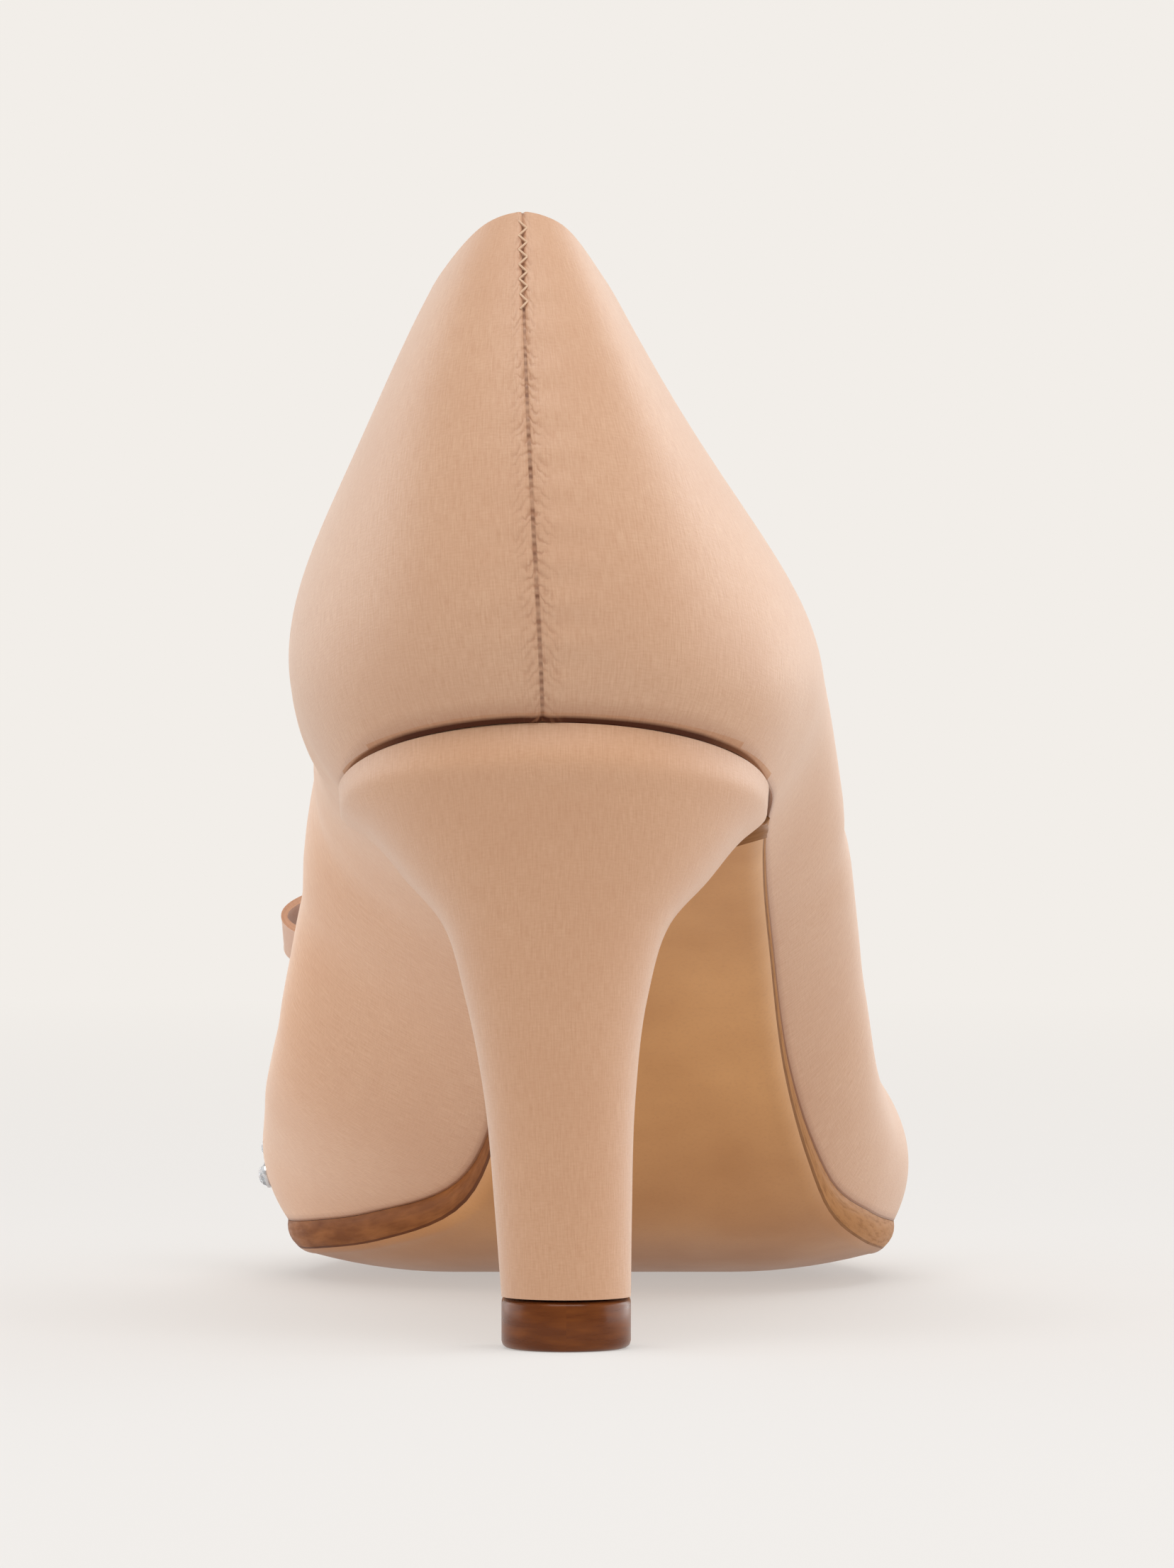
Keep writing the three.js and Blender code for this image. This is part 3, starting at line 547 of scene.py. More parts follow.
class Look:
    """A node material around one Principled shader."""

    def __init__(self, name, **sockets):
        self.material = bpy.data.materials.new(name)
        self.material.use_nodes = True
        self.nodes = self.material.node_tree.nodes
        self.links = self.material.node_tree.links
        self.shader = self.nodes["Principled BSDF"]
        for socket, value in sockets.items():
            self.shader.inputs[socket.replace("_", " ")].default_value = value
        self.uv = self.add("ShaderNodeUVMap", uv_map="UVMap").outputs["UV"]

    def add(self, kind, inputs=None, **settings):
        node = self.nodes.new(kind)
        for setting, value in settings.items():
            setattr(node, setting, value)
        for socket, value in (inputs or {}).items():
            if isinstance(value, bpy.types.NodeSocket):
                self.links.new(value, node.inputs[socket])
            else:
                node.inputs[socket].default_value = value
        return node

    def noise(self, vector, scale, detail, roughness=0.5):
        inputs = {"Vector": vector, "Scale": scale, "Detail": detail, "Roughness": roughness}
        return self.add("ShaderNodeTexNoise", inputs).outputs["Fac"]

    def flat_noise(self, across, along, detail=2, roughness=0.5):
        """Noise over the piece's own millimetres, as repeats per millimetre across and along."""
        inputs = {"Vector": self.uv, "Scale": (across, along, 1)}
        return self.noise(self.add("ShaderNodeMapping", inputs).outputs["Vector"], 1, detail, roughness)

    def own_space(self):
        return self.add("ShaderNodeTexCoord").outputs["Object"]

    def solid_noise(self, per_millimetre, detail=2):
        """Noise through the object's own space."""
        return self.noise(self.own_space(), per_millimetre * 1000, detail)

    def own_place(self, axis):
        return self.add("ShaderNodeSeparateXYZ", {"Vector": self.own_space()}).outputs[axis]

    def remap(self, value, low, high, start=0, end=1):
        inputs = {"Value": value, "From Min": start, "From Max": end, "To Min": low, "To Max": high}
        return self.add("ShaderNodeMapRange", inputs).outputs["Result"]

    def calc(self, operation, first, second=0):
        return self.add("ShaderNodeMath", {0: first, 1: second}, operation=operation).outputs["Value"]

    def times(self, first, second):
        return self.calc("MULTIPLY", first, second)

    def mix(self, factor, first, second):
        """A mix of two colours, given as sockets, values or names."""
        pair = [tone(colour) if isinstance(colour, str) else colour for colour in (first, second)]
        return self.add("ShaderNodeMix", {0: factor, 6: pair[0], 7: pair[1]}, data_type="RGBA").outputs[2]

    def blend(self, value, start, end, first, second, most=1):
        """One colour turning to the other, or most of the way, as a value goes from start to end."""
        return self.mix(self.remap(value, 0, most, start, end), first, second)

    def wave(self, value, pitch):
        """A wave from 0 to 1 that repeats every pitch millimetres."""
        return self.remap(self.calc("SINE", self.times(value, 2 * pi / pitch)), 0, 1, -1, 1)

    def feed(self, name, socket):
        self.links.new(socket, self.shader.inputs[name])

    def bump(self, height, strength, depth):
        inputs = {"Height": height, "Strength": strength, "Distance": depth / 1000}
        self.feed("Normal", self.add("ShaderNodeBump", inputs).outputs["Normal"])

    def done(self, shade, roughness, height, strength, depth):
        self.feed("Base Color", shade)
        self.feed("Roughness", roughness)
        self.bump(height, strength, depth)
        return self.material


def weave(look):
    """Fine slubs down the warp over a close weft, as a height from 0 to 1."""
    warp = look.flat_noise(6.5, 0.45, detail=3, roughness=0.6)
    weft = look.flat_noise(1.1, 5.0, detail=2)
    return look.remap(look.calc("ADD", warp, look.times(weft, 0.5)), 0, 1, 0.5, 1)


def satin(name, colour, roughness, seamed=False, sheen=SHEEN, gloss=GLOSS):
    """Satin with a soft sheen; with seamed set, the back seam and the joint with the sole as well."""
    look = Look(name, Sheen_Weight=sheen, Sheen_Roughness=0.42, Sheen_Tint=tone("sheen"),
                Specular_IOR_Level=gloss)
    deep = colour + "_deep"
    thread = weave(look)
    height = thread
    patch = look.flat_noise(0.05, 0.07)
    shade = look.blend(patch, 0.42, 0.7, look.mix(thread, deep, colour), deep, 0.4)
    if seamed:
        shade, sunk = seams(look, shade)
        height = look.calc("ADD", thread, sunk)
    return look.done(shade, look.remap(thread, roughness + 0.06, roughness - 0.05), height, 0.3, 0.07)


def seams(look, shade):
    """The shade with seam, puckers and joint drawn in, with painted shadow above the joint and painted shade
    in the seam and the puckers' troughs, and the height that the seam takes away.
    """
    place_on = look.add("ShaderNodeSeparateXYZ", {"Vector": look.uv}).outputs
    up = place_on["Y"]
    aside = look.calc("ABSOLUTE", place_on["X"])
    forward = look.remap(aside, 0, 1, *SEAT_LINE_ENDS)
    rise = look.calc("DIVIDE", up, look.remap(forward, SEAT_LINE, JOINT_LINE))
    seam = back_seam(look, aside, up)
    pucker = seam_puckers(look, aside, up)
    shade = look.mix(look.remap(rise, 0.6, 0, 0, 3.5), shade, "seat_shadow")
    # Dark dashed seam line: thread with painted shade of the groove and stitch holes
    shade = look.mix(seam, shade, "seam")
    # The dark joint line, darkest round the heel seat, with painted shade of the groove under the satin's
    # edge
    line = look.mix(forward, "seat_joint_shade", "joint_line")
    shade = look.mix(look.remap(rise, 0.95, 0, 0.6, 1.1), shade, line)
    # Painted shade in the troughs of the seam's puckers
    shade = look.mix(look.times(pucker, PUCKER_SHADE), shade, "pucker")
    return shade, look.calc("SUBTRACT", look.times(pucker, -PUCKER_SHARE), seam)


def back_seam(look, aside, up):
    """The dark dashed line in the back seam's groove, stitch by stitch and uneven: thread, with painted shade
    of the groove and stitch holes.
    """
    uneven = look.flat_noise(0, 0.33, detail=3)
    line = look.remap(aside, 1, 0, SEAM_LINE / 2, SEAM_LINE)
    stitch = look.remap(look.wave(up, STITCH_PITCH), 0.5, 1)
    drawn = look.times(stitch, look.remap(uneven, 0.35, 1, 0.35, 0.62))
    return look.times(line, drawn)


def seam_puckers(look, aside, up):
    """Small slanting folds pulled in by the back seam's stitches, as bump and as painted shade in their
    troughs.
    """
    stray = look.flat_noise(0.9, 0.4, detail=3)
    slant = look.calc("ADD", look.calc("ADD", up, aside), look.times(stray, PUCKER_STRAY))
    near = look.remap(aside, 1, 0, 0.3, PUCKER_REACH)
    broken = look.times(near, look.remap(stray, 0, 1, 0.34, 0.58))
    fold = look.calc("POWER", look.wave(slant, PUCKER_PITCH), 2.0)
    return look.times(fold, broken)


def lining_leather():
    look = Look("lining", Specular_IOR_Level=0.35)
    grain = look.solid_noise(1.6, detail=4)
    shade = look.blend(look.solid_noise(0.04), 0.35, 0.7, "lining", "lining_deep")
    return look.done(shade, look.remap(grain, 0.5, 0.68, 0.3, 0.7), grain, 0.3, 0.08)


def sole_underside():
    """Polished sole leather, with painted shade darkening it towards the forefoot."""
    look = Look("sole_underside", Coat_Weight=0.12, Coat_Roughness=0.25)
    grain = look.solid_noise(2.4, detail=5)
    cloud = look.solid_noise(0.05, detail=3)
    shade = look.blend(cloud, 0.35, 0.68, "underside", "underside_deep")
    shade = look.blend(grain, 0.5, 0.75, shade, "underside_grain", 0.15)
    # Painted shade: the underside darker towards the forefoot, where it nears the floor
    shade = look.blend(look.own_place("Y"), TREAD_SHADE_START, TREAD_SHADE_END, shade, "tread_shade", 0.9)
    return look.done(shade, look.remap(cloud, 0.34, 0.48, 0.3, 0.7), grain, 0.2, 0.06)


def sole_edge(name, colour):
    """Burnished sole edge, dark and mottled on the medial side, and lighter on the lateral one by painted
    light.
    """
    look = Look(name, Specular_IOR_Level=0.12)
    fibre = look.flat_noise(2.4, 0.3, detail=4, roughness=0.65)
    mottle = look.flat_noise(0.5, 0.16, detail=3)
    shade = look.blend(mottle, 0.35, 0.68, colour + "_deep", colour)
    # Painted light: lighter colour on the lateral side, where the light falls
    shade = look.blend(look.own_place("X"), 0, 0.02, shade, colour + "_lateral", 0.8)
    shade = look.blend(fibre, 0.48, 0.75, shade, "edge_fibre", 0.5)
    return look.done(shade, look.remap(fibre, 0.38, 0.55, 0.3, 0.7), fibre, 0.4, 0.12)


def tip_plastic():
    look = Look("tip", Coat_Weight=0.12, Coat_Roughness=0.15, Specular_IOR_Level=0.2)
    streak = look.flat_noise(0.16, 0.9, detail=3)
    shade = look.blend(streak, 0.4, 0.7, "tip", "tip_streak")
    return look.done(shade, look.remap(streak, 0.24, 0.36, 0.3, 0.7), streak, 0.1, 0.05)


def stone_glass():
    look = Look("stone_glass", Base_Color=tone("stone"), IOR=1.6, Transmission_Weight=0.55)
    dust = look.solid_noise(1.2)
    look.feed("Roughness", look.remap(dust, 0.01, 0.05))
    return look.material


def silver():
    look = Look("stone_cup", Base_Color=tone("silver"), Metallic=1)
    wear = look.solid_noise(2.0)
    look.feed("Roughness", look.remap(wear, 0.18, 0.32))
    return look.material


def thread_cotton():
    look = Look("thread", Base_Color=tone("thread"))
    ply = look.solid_noise(5.0)
    look.feed("Roughness", look.remap(ply, 0.5, 0.75))
    look.bump(ply, 0.4, 0.05)
    return look.material


def floor_paper():
    """Paper that catches shadows near the shoe and glows evenly further off, so no horizon shows."""
    look = Look("floor_paper", Specular_IOR_Level=0, Emission_Color=tone("floor"))
    distance = look.add("ShaderNodeVectorMath", {0: look.own_space()}, operation="LENGTH")
    far = look.remap(distance.outputs["Value"], 0, 1, *FLOOR_FADE)
    look.feed("Base Color", look.mix(far, FLOOR_TONE, (0, 0, 0, 1)))
    look.feed("Emission Strength", look.remap(far, FLOOR_GLOW, 1))
    tooth = look.solid_noise(0.4)
    look.feed("Roughness", look.remap(tooth, 0.82, 0.92))
    return look.material


SATIN = satin("satin", "satin", 0.46, seamed=True)
# Satin without sheen for the dark line round the heel seat, so its painted groove shade stays dark
JOINT_SHADE_SATIN = satin("joint_shade_satin", "satin", 0.6, seamed=True, sheen=0, gloss=0.1)
HEEL_SATIN = satin("heel_satin", "heel_satin", 0.42)
RIBBON = satin("ribbon", "ribbon", 0.36)
LINING = lining_leather()
UNDERSIDE = sole_underside()
EDGE = sole_edge("sole_edge", "edge")
EDGE_LINE = sole_edge("sole_edge_line", "edge_line")
TIP = tip_plastic()
GLASS = stone_glass()
SILVER = silver()
THREAD = thread_cotton()


# Upper

# Counts of faces, the cloth of one rim step, and extra stations beside the seam in its widths
UPPER_STEPS = 9
UPPER_RISE = 56
RIM_STEPS = 6
RIM_PITCH = 1 / 3
SEAM_STATIONS = (0.35, 0.8, 1.5, 2.4, 3.6)


def bell(distance, width):
    return exp(-(distance / width) ** 2)


def crease_depth(side, along, height):
    depth = 0.0
    for on_side, middle, level, half_width, half_length, lean, deep in CREASES:
        if side == on_side:
            rise = height - level
            depth += deep * bell(along - middle - lean * rise, half_width) * bell(rise, half_length)
    return depth


def satin_relief(side, reach, spot, rise):
    """How far the satin stands off the last."""
    height = spot.z
    groove = -SEAM_DEPTH * bell(reach, SEAM_WIDTH)
    ridge = SEAM_RIDGE * bell(reach - SEAM_RIDGE_ASIDE, SEAM_RIDGE_WIDTH)
    wave = sin(2 * pi * height / PULL_PITCH + PULL_SWAY * sin(height / PULL_SWAY_LENGTH))
    pull = PULL_DEPTH[side] * wave * bell(reach - PULL_ASIDE, PULL_WIDTH) * min(1, PULL_RISE * rise)
    drawn = DRAWN_DEPTH * sin(height / DRAWN_UP[0] + reach / DRAWN_UP[1])
    drawn *= sin(reach / DRAWN_ACROSS[1] - height / DRAWN_ACROSS[0])
    calm = min(1, CALM_RISE * rise) * min(1, reach / CALM_REACH)
    return groove + ridge + pull + (drawn - crease_depth(side, spot.y, height)) * calm


def joint_width(reach):
    """Width of the dark line over the sole, broad round the heel seat and fine further forward."""
    start, end = SEAT_LINE_ENDS
    forward = min(1, max(0, (reach - start) / (end - start)))
    return SEAT_LINE + (JOINT_LINE - SEAT_LINE) * forward


def upper_stations():
    stations = [0.0]
    for i in range(TOE):
        stations += even_steps(REACH[i], REACH[i + 1], UPPER_STEPS)[1:]
    return sorted(set(stations) | {SEAM_WIDTH * share for share in SEAM_STATIONS})


class UpperShell:
    """Satin outside and lining inside as one closed mesh, in columns round the last from the back seam by
    way of the lateral side, and rows up from the feather."""

    def __init__(self):
        stations = upper_stations()
        self.toe = len(stations) - 1
        self.throat = min(range(self.toe), key=lambda i: abs(stations[i] - REACH[THROAT]))
        self.columns = 2 * self.toe
        self.reach = stations + stations[-2:0:-1]
        self.last, self.grid, self.length = [], [], []
        self.faces, self.uvs, self.kinds = [], [], []
        for column in range(self.columns):
            self.add_column(column)
        self.add_satin()
        self.depth = len(self.last)
        normals = point_normals(self.last, self.faces)
        self.points = self.relieved(normals) + [p - n * WALL for p, n in zip(self.last, normals)]
        self.add_lining()

    def side(self, column):
        return 1 if column <= self.toe else -1

    def add_column(self, column):
        """The last's points up one column and the length of cloth to each. The two sides share the ridge."""
        controls = wall_controls(self.side(column), self.reach[column])
        twin = self.columns - column
        points = [on_wall(controls, row / UPPER_RISE) for row in range(UPPER_RISE + 1)]
        indices = list(range(len(self.last), len(self.last) + UPPER_RISE + 1))
        self.length.append(lengths_along(points))
        if self.throat <= twin < self.toe:
            indices[-1] = self.grid[twin][-1]
            points.pop()
        self.grid.append(indices)
        self.last += points

    def corner(self, column, row, side):
        return (side * self.reach[column], self.length[column][row])

    def satin_kind(self, column, row):
        """2 in the dark line round the heel seat, a dark joint with painted groove shade, 0 elsewhere."""
        reach = self.reach[column]
        return 2 if reach < SEAT_LINE_ENDS[1] and self.length[column][row] < joint_width(reach) else 0

    def add_satin(self):
        for column in range(self.columns):
            after = (column + 1) % self.columns
            side = self.side(max(column, after))
            for row in range(UPPER_RISE):
                around = [(column, row), (after, row), (after, row + 1), (column, row + 1)]
                self.faces.append(tuple(self.grid[c][r] for c, r in around))
                self.uvs += [self.corner(c, r, side) for c, r in around]
                self.kinds.append(self.satin_kind(column, row))

    def relieved(self, normals):
        points = list(self.last)
        for column, indices in enumerate(self.grid):
            for row, index in enumerate(indices):
                spot = self.last[index]
                relief = satin_relief(self.side(column), self.reach[column], spot, row / UPPER_RISE)
                points[index] = spot + normals[index] * relief
        return points

    def add_lining(self):
        faces = [tuple(index + self.depth for index in reversed(face)) for face in self.faces]
        corners = [self.uvs[start:start + 4] for start in range(0, len(self.uvs), 4)]
        self.faces += faces
        self.uvs += [uv for four in corners for uv in reversed(four)]
        self.kinds += [1] * len(faces)

    def rim_ring(self, column, row, roll):
        """Points of the rolled edge at one column, from the satin over to the lining."""
        index = self.grid[column][row]
        inside_row = row - 1 if row else 1
        away = (self.last[index] - self.last[self.grid[column][inside_row]]).normalized()
        start = self.points[index]
        end = self.points[index + self.depth]
        half = (start - end) / 2
        rise = away * roll * half.length
        ring = [index]
        for angle in even_steps(0, pi, RIM_STEPS)[1:-1]:
            ring.append(len(self.points))
            self.points.append((start + end) / 2 + half * cos(angle) + rise * sin(angle))
        return ring + [index + self.depth]

    def add_rim(self, columns, row, roll):
        """A rolled edge along a row, through columns that end where they start."""
        rings = [self.rim_ring(column, row, roll) for column in columns[:-1]]
        rings.append(rings[0])
        pitch = RIM_PITCH if row else -RIM_PITCH
        for column, after, here, there in zip(columns, columns[1:], rings, rings[1:]):
            side = self.side(max(column, after))
            low, high = self.corner(column, row, side), self.corner(after, row, side)
            for k in range(RIM_STEPS):
                self.faces.append((here[k], there[k], there[k + 1], here[k + 1]))
                for (aside, up), step in ((low, k), (high, k), (high, k + 1), (low, k + 1)):
                    self.uvs.append((aside, up + step * pitch))
                inner_half = row == 0 and 2 * k >= RIM_STEPS
                self.kinds.append(1 if inner_half else self.satin_kind(column, row))


def build_upper():
    shell = UpperShell()
    lateral = list(range(shell.throat + 1))
    medial = [shell.columns - column for column in range(shell.throat - 1, 0, -1)]
    shell.add_rim(lateral + medial + [0], UPPER_RISE, TOPLINE_ROLL)
    shell.add_rim([0] + list(reversed(range(shell.columns))), 0, FEATHER_ROLL)
    materials = [SATIN, LINING, JOINT_SHADE_SATIN]
    piece = make_piece("satin_upper", shell.points, shell.faces, materials, "satin", shell.kinds, shell.uvs)
    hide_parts("upper")


build_upper()


# Sole, insole, heel and tip

SOLE_ACROSS = 28
SOLE_ALONG = 110
ARC_STEPS = 22
DROP_STEPS = 26
HALVINGS = 40


def reach_at(along):
    low, high = 0.0, REACH[TOE]
    for _ in range(HALVINGS):
        middle = (low + high) / 2
        if feather_along(1, middle) < along:
            low = middle
        else:
            high = middle
    return (low + high) / 2


def feather_inset(side, reach):
    return 0


def lining_inset(height):
    """How far in from the feather the lining is met, at a height above it."""
    def inset(side, reach):
        flare = radians(wall_flare(side, reach))
        return min((WALL - height * sin(flare)) / cos(flare), LINING_INSET_MOST)
    return inset


def bottom_row(reach, inset):
    """Points across the bottom at one station, and the way up from it."""
    ends = [feather_point(side, reach) - outward_at(side, reach) * inset(side, reach) for side in (-1, 1)]
    along = ends[0].y
    grade = (seat_height(along + GRADE_STEP) - seat_height(along - GRADE_STEP)) / (2 * GRADE_STEP)
    normal = Vector((0, -grade, 1)).normalized()
    close = max(0, 1 - (SECTIONS["along"][TOE] - along) / TOE_ROUND)
    points = []
    for across in even_steps(-1, 1, SOLE_ACROSS):
        rise = max(0, (abs(across) - CAMBER_START) / (1 - CAMBER_START))
        share = 1 - (1 - rise * rise) * (1 - close * close)
        height = seat_height(along) + sole_camber(along) * share
        points.append(Vector((ends[0].x + (ends[1].x - ends[0].x) * (across + 1) / 2, along, height)))
    return along, normal, points


BAND_STEPS = 5
EDGE_STEPS = 11
FLAP_BAND = 0.8


def edged_loop(top, bottom, up, bulge, band=FLAP_BAND):
    """A closed section: top, edge, bottom, edge. A bulged band takes that share of each edge, and the rest
    rounds in to the bottom."""
    right = (top[-1] - top[0]).normalized()

    def edge(high, low, out):
        fall = up * up.dot(low - high)
        inward = low - high - fall
        spots = []
        for step in range(1, EDGE_STEPS):
            if step <= BAND_STEPS:
                share = band * step / BAND_STEPS
                swell = bulge * sin(pi * step / BAND_STEPS)
            else:
                turn = pi / 2 * (step - BAND_STEPS) / (EDGE_STEPS - BAND_STEPS)
                share = band + (1 - band) * sin(turn)
                swell = 0
            spots.append(high + fall * share + inward * (1 - sqrt(1 - share * share)) + out * swell)
        return spots
    far = edge(top[-1], bottom[-1], right)
    near = edge(top[0], bottom[0], -right)
    return top + far + list(reversed(bottom)) + list(reversed(near))


def sole_kinds(steps):
    """0 for the flat faces and bevels, 1 for the upright edges and the ends, 2 for the burnished line under
    each upright edge and for the edges where the sole turns down the heel, which are partly the flap's dark
    edge and partly painted shade."""
    def round_kinds(edge):
        return [0] * SOLE_ACROSS + edge + [0] * SOLE_ACROSS + edge[::-1]
    straight = round_kinds([1] * BAND_STEPS + [2] + [0] * (EDGE_STEPS - BAND_STEPS - 1))
    # Edges where the sole turns down the heel: the flap's dark edge, with painted shade
    turning = round_kinds([2] * EDGE_STEPS)
    turn = range(SOLE_ALONG, SOLE_ALONG + ARC_STEPS + 1)
    return [1 if step < 0 else (turning if row in turn else straight)[step] for row, step in steps]


ARC_CENTRE = BREAST_FRONT + BREAST_RADIUS
bevel_width, band_share = curves_of(BEVEL, "along", "width", "band")
flap_half, flap_middle = curves_of(BREAST, "height", "half", "middle")


def bevel_inset(side, reach):
    return bevel_width(feather_along(side, reach))


def toe_steps(length):
    """Distances back from the toe, close together at its tip."""
    shares = [(i / SOLE_ALONG) ** TOE_CROWDING for i in range(SOLE_ALONG + 1)]
    return [TOE_CLOSE + (length - TOE_CLOSE) * share for share in shares]


def sole_loops():
    """Sections of the sole from the toe back to where it turns down the heel."""
    join = ARC_CENTRE + BREAST_RADIUS * cos(BREAST_JOIN)
    loops = []
    for back in toe_steps(REACH[TOE] - reach_at(join)):
        reach = REACH[TOE] - back
        along, normal, points = bottom_row(reach, feather_inset)
        _, _, under = bottom_row(reach, bevel_inset)
        top = [p - normal * SEAT_JOINT for p in points]
        bottom = [p - normal * sole_thickness(along) for p in under]
        loops.append(edged_loop(top, bottom, normal, EDGE_BULGE, band_share(along)))
    return loops


def flap_loop(along, height, back):
    half, middle = flap_half(height), flap_middle(height)
    front = [Vector((x, along, height)) for x in even_steps(middle - half, middle + half, SOLE_ACROSS)]
    return edged_loop([p + back * BREAST_THICKNESS for p in front], front, back, EDGE_BULGE)


def flap_loops():
    """Sections round the turn and down the front of the heel."""
    loops = []
    for angle in even_steps(BREAST_START, pi, ARC_STEPS):
        back = Vector((0, cos(angle), sin(angle)))
        along = ARC_CENTRE + BREAST_RADIUS * back.y
        loops.append(flap_loop(along, BREAST_SPRING + BREAST_RADIUS * back.z, back))
    for height in even_steps(BREAST_SPRING, TOP_PIECE_HEIGHT + GAP, DROP_STEPS)[1:]:
        loops.append(flap_loop(BREAST_FRONT, height, Vector((0, -1, 0))))
    return loops


def build_outsole():
    loops = sole_loops() + flap_loops()
    piece = loft_piece("leather_outsole", loops, [UNDERSIDE, EDGE, EDGE_LINE], "sole_leather", sole_kinds)
    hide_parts("outsole")


def build_insole():
    loops = []
    front, back = INSOLE_ENDS
    for reach in even_steps(REACH[TOE] * front, REACH[TOE] * back, SOLE_ALONG):
        _, normal, top = bottom_row(reach, lining_inset(INSOLE_THICKNESS))
        _, _, bottom = bottom_row(reach, lining_inset(0))
        loops.append(edged_loop([p + normal * INSOLE_THICKNESS for p in top], bottom, normal, SOCK_BULGE))
    piece = loft_piece("insole_board", loops, [LINING], "lining")
    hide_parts("insole")


HEEL_ROUND = 40
HEEL_SIDE = 8
HEEL_ROWS_PER_LEVEL = 8


def heel_loop(level, height_at):
    """A section of the heel: round at the back, straight at the sides, flat in front."""
    back, _, front, _, middle, half, depth = level
    spots = [(half * sin(a), back + depth * (1 - cos(a))) for a in even_steps(0, pi / 2, HEEL_ROUND)]
    spots += [(half, along) for along in even_steps(back + depth, front, HEEL_SIDE)[1:]]
    spots += [(-across, along) for across, along in reversed(spots[1:])]
    return [Vector((middle + across, along, height_at(along))) for across, along in spots]


def heel_loops():
    loops = []
    for level in HEEL_LEVELS:
        back_along, back_height, front_along, front_height = level[:4]
        slope = (front_height - back_height) / (front_along - back_along)
        if level is HEEL_LEVELS[-1]:
            loops.append(heel_loop(level, lambda along: seat_height(along) - SEAT_JOINT))
        else:
            loops.append(heel_loop(level, lambda along: back_height + slope * (along - back_along)))
    return loops


def build_heel():
    levels = heel_loops()
    knots = [level[1] for level in HEEL_LEVELS]
    rows = []
    for i in range(len(knots) - 1):
        rows += even_steps(knots[i], knots[i + 1], HEEL_ROWS_PER_LEVEL)[:-1]
    rows.append(knots[-1])
    columns = [[curve_through(knots, axis) for axis in zip(*column)] for column in zip(*levels)]
    loops = [[Vector([curve(row) for curve in column]) for column in columns] for row in rows]
    piece = loft_piece("satin_heel", loops, [HEEL_SATIN], "satin", both_ways=True)
    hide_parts("heel")


# Heights up the tip, and how far in its side stands there
TIP_INSETS = [(0, 0.9), (0.12, 0.5), (0.4, 0.16), (0.9, 0), (2.8, 0), (5.0, 0), (5.3, 0.12)]
TIP_INSETS += [(TOP_PIECE_HEIGHT, 0.4)]


def build_top_piece():
    back, _, _, _, middle, half, round_depth = HEEL_LEVELS[0]
    loops = []
    for height, inset in TIP_INSETS:
        level = (back + inset, 0, BREAST_FRONT - inset, 0, middle, half - inset, round_depth)
        loops.append(heel_loop(level, lambda along: height))
    piece = loft_piece("heel_tip", loops, [TIP], "tip")
    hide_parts("top_piece")


build_outsole()
build_insole()
build_heel()
build_top_piece()


# Bow

LOOP_STEPS = 120
RIBBON_ACROSS = 24
TURN_STEP = 0.01
KNOT_ROWS = 60
KNOT_COLUMNS = 96
TURNS = list(range(len(LOOP["out"])))

loop_out = curve_through(TURNS, LOOP["out"])
loop_up = curve_through(TURNS, LOOP["up"])
loop_width = curve_through(TURNS, LOOP["width"])

bow_from, bow_to = SECTIONS["top_along"][THROAT:THROAT + 2]
BOW_SHARE = (BOW_ALONG - bow_from) / (bow_to - bow_from)
BOW_REACH = REACH[THROAT] + BOW_SHARE * (REACH[THROAT + 1] - REACH[THROAT])
BOW_NORMAL = Vector((0, -sin(BOW_SLOPE), cos(BOW_SLOPE)))
BOW_FORWARD = Vector((0, cos(BOW_SLOPE), sin(BOW_SLOPE)))
BOW_CENTRE = top_point(1, BOW_REACH) + BOW_NORMAL * (KNOT_HALF[2] + KNOT_LIFT)


def ribbon_section(side, turn):
    """A closed section across the ribbon, pleated towards the knot and thicker at its woven edges."""
    start, end = max(0, turn - TURN_STEP), min(TURNS[-1], turn + TURN_STEP)
    run, climb = loop_out(end) - loop_out(start), loop_up(end) - loop_up(start)
    tilt = hypot(run, climb)
    face = Vector((-side * climb / tilt, 0, 0)) + BOW_NORMAL * (run / tilt)
    out = loop_out(turn)
    centre = BOW_CENTRE + BOW_NORMAL * (loop_up(turn) - BOW_DROOP * out)
    centre = centre + Vector((side * (KNOT_HALF[0] + GAP + out), 0, 0))
    gather = PLEAT_DEPTH * max(0, 1 - out / PLEAT_REACH)
    top, bottom = [], []
    for across in even_steps(-1, 1, RIBBON_ACROSS):
        pleat = gather * sin(PLEATS * pi * across + PLEAT_SHIFT * side)
        selvage = SELVAGE * bell(abs(across) - SELVAGE_AT, SELVAGE_WIDTH)
        middle = centre + BOW_FORWARD * (side * across * loop_width(turn) / 2) + face * pleat
        top.append(middle + face * (RIBBON_THICKNESS + selvage))
        bottom.append(middle - face * selvage)
    return bottom + list(reversed(top))


def build_bow_loop(side, name):
    turns = even_steps(0, TURNS[-1], LOOP_STEPS)
    length = lengths_along([Vector((loop_out(turn), loop_up(turn))) for turn in turns])[-1]
    loops = [ribbon_section(side, turn) for turn in turns]
    piece = loft_piece(name + "_ribbon", loops, [RIBBON], "ribbon")
    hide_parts(name)
    max(LOOP["width"]) / 1000


def swollen(value):
    return copysign(abs(value) ** KNOT_SWELL, value)


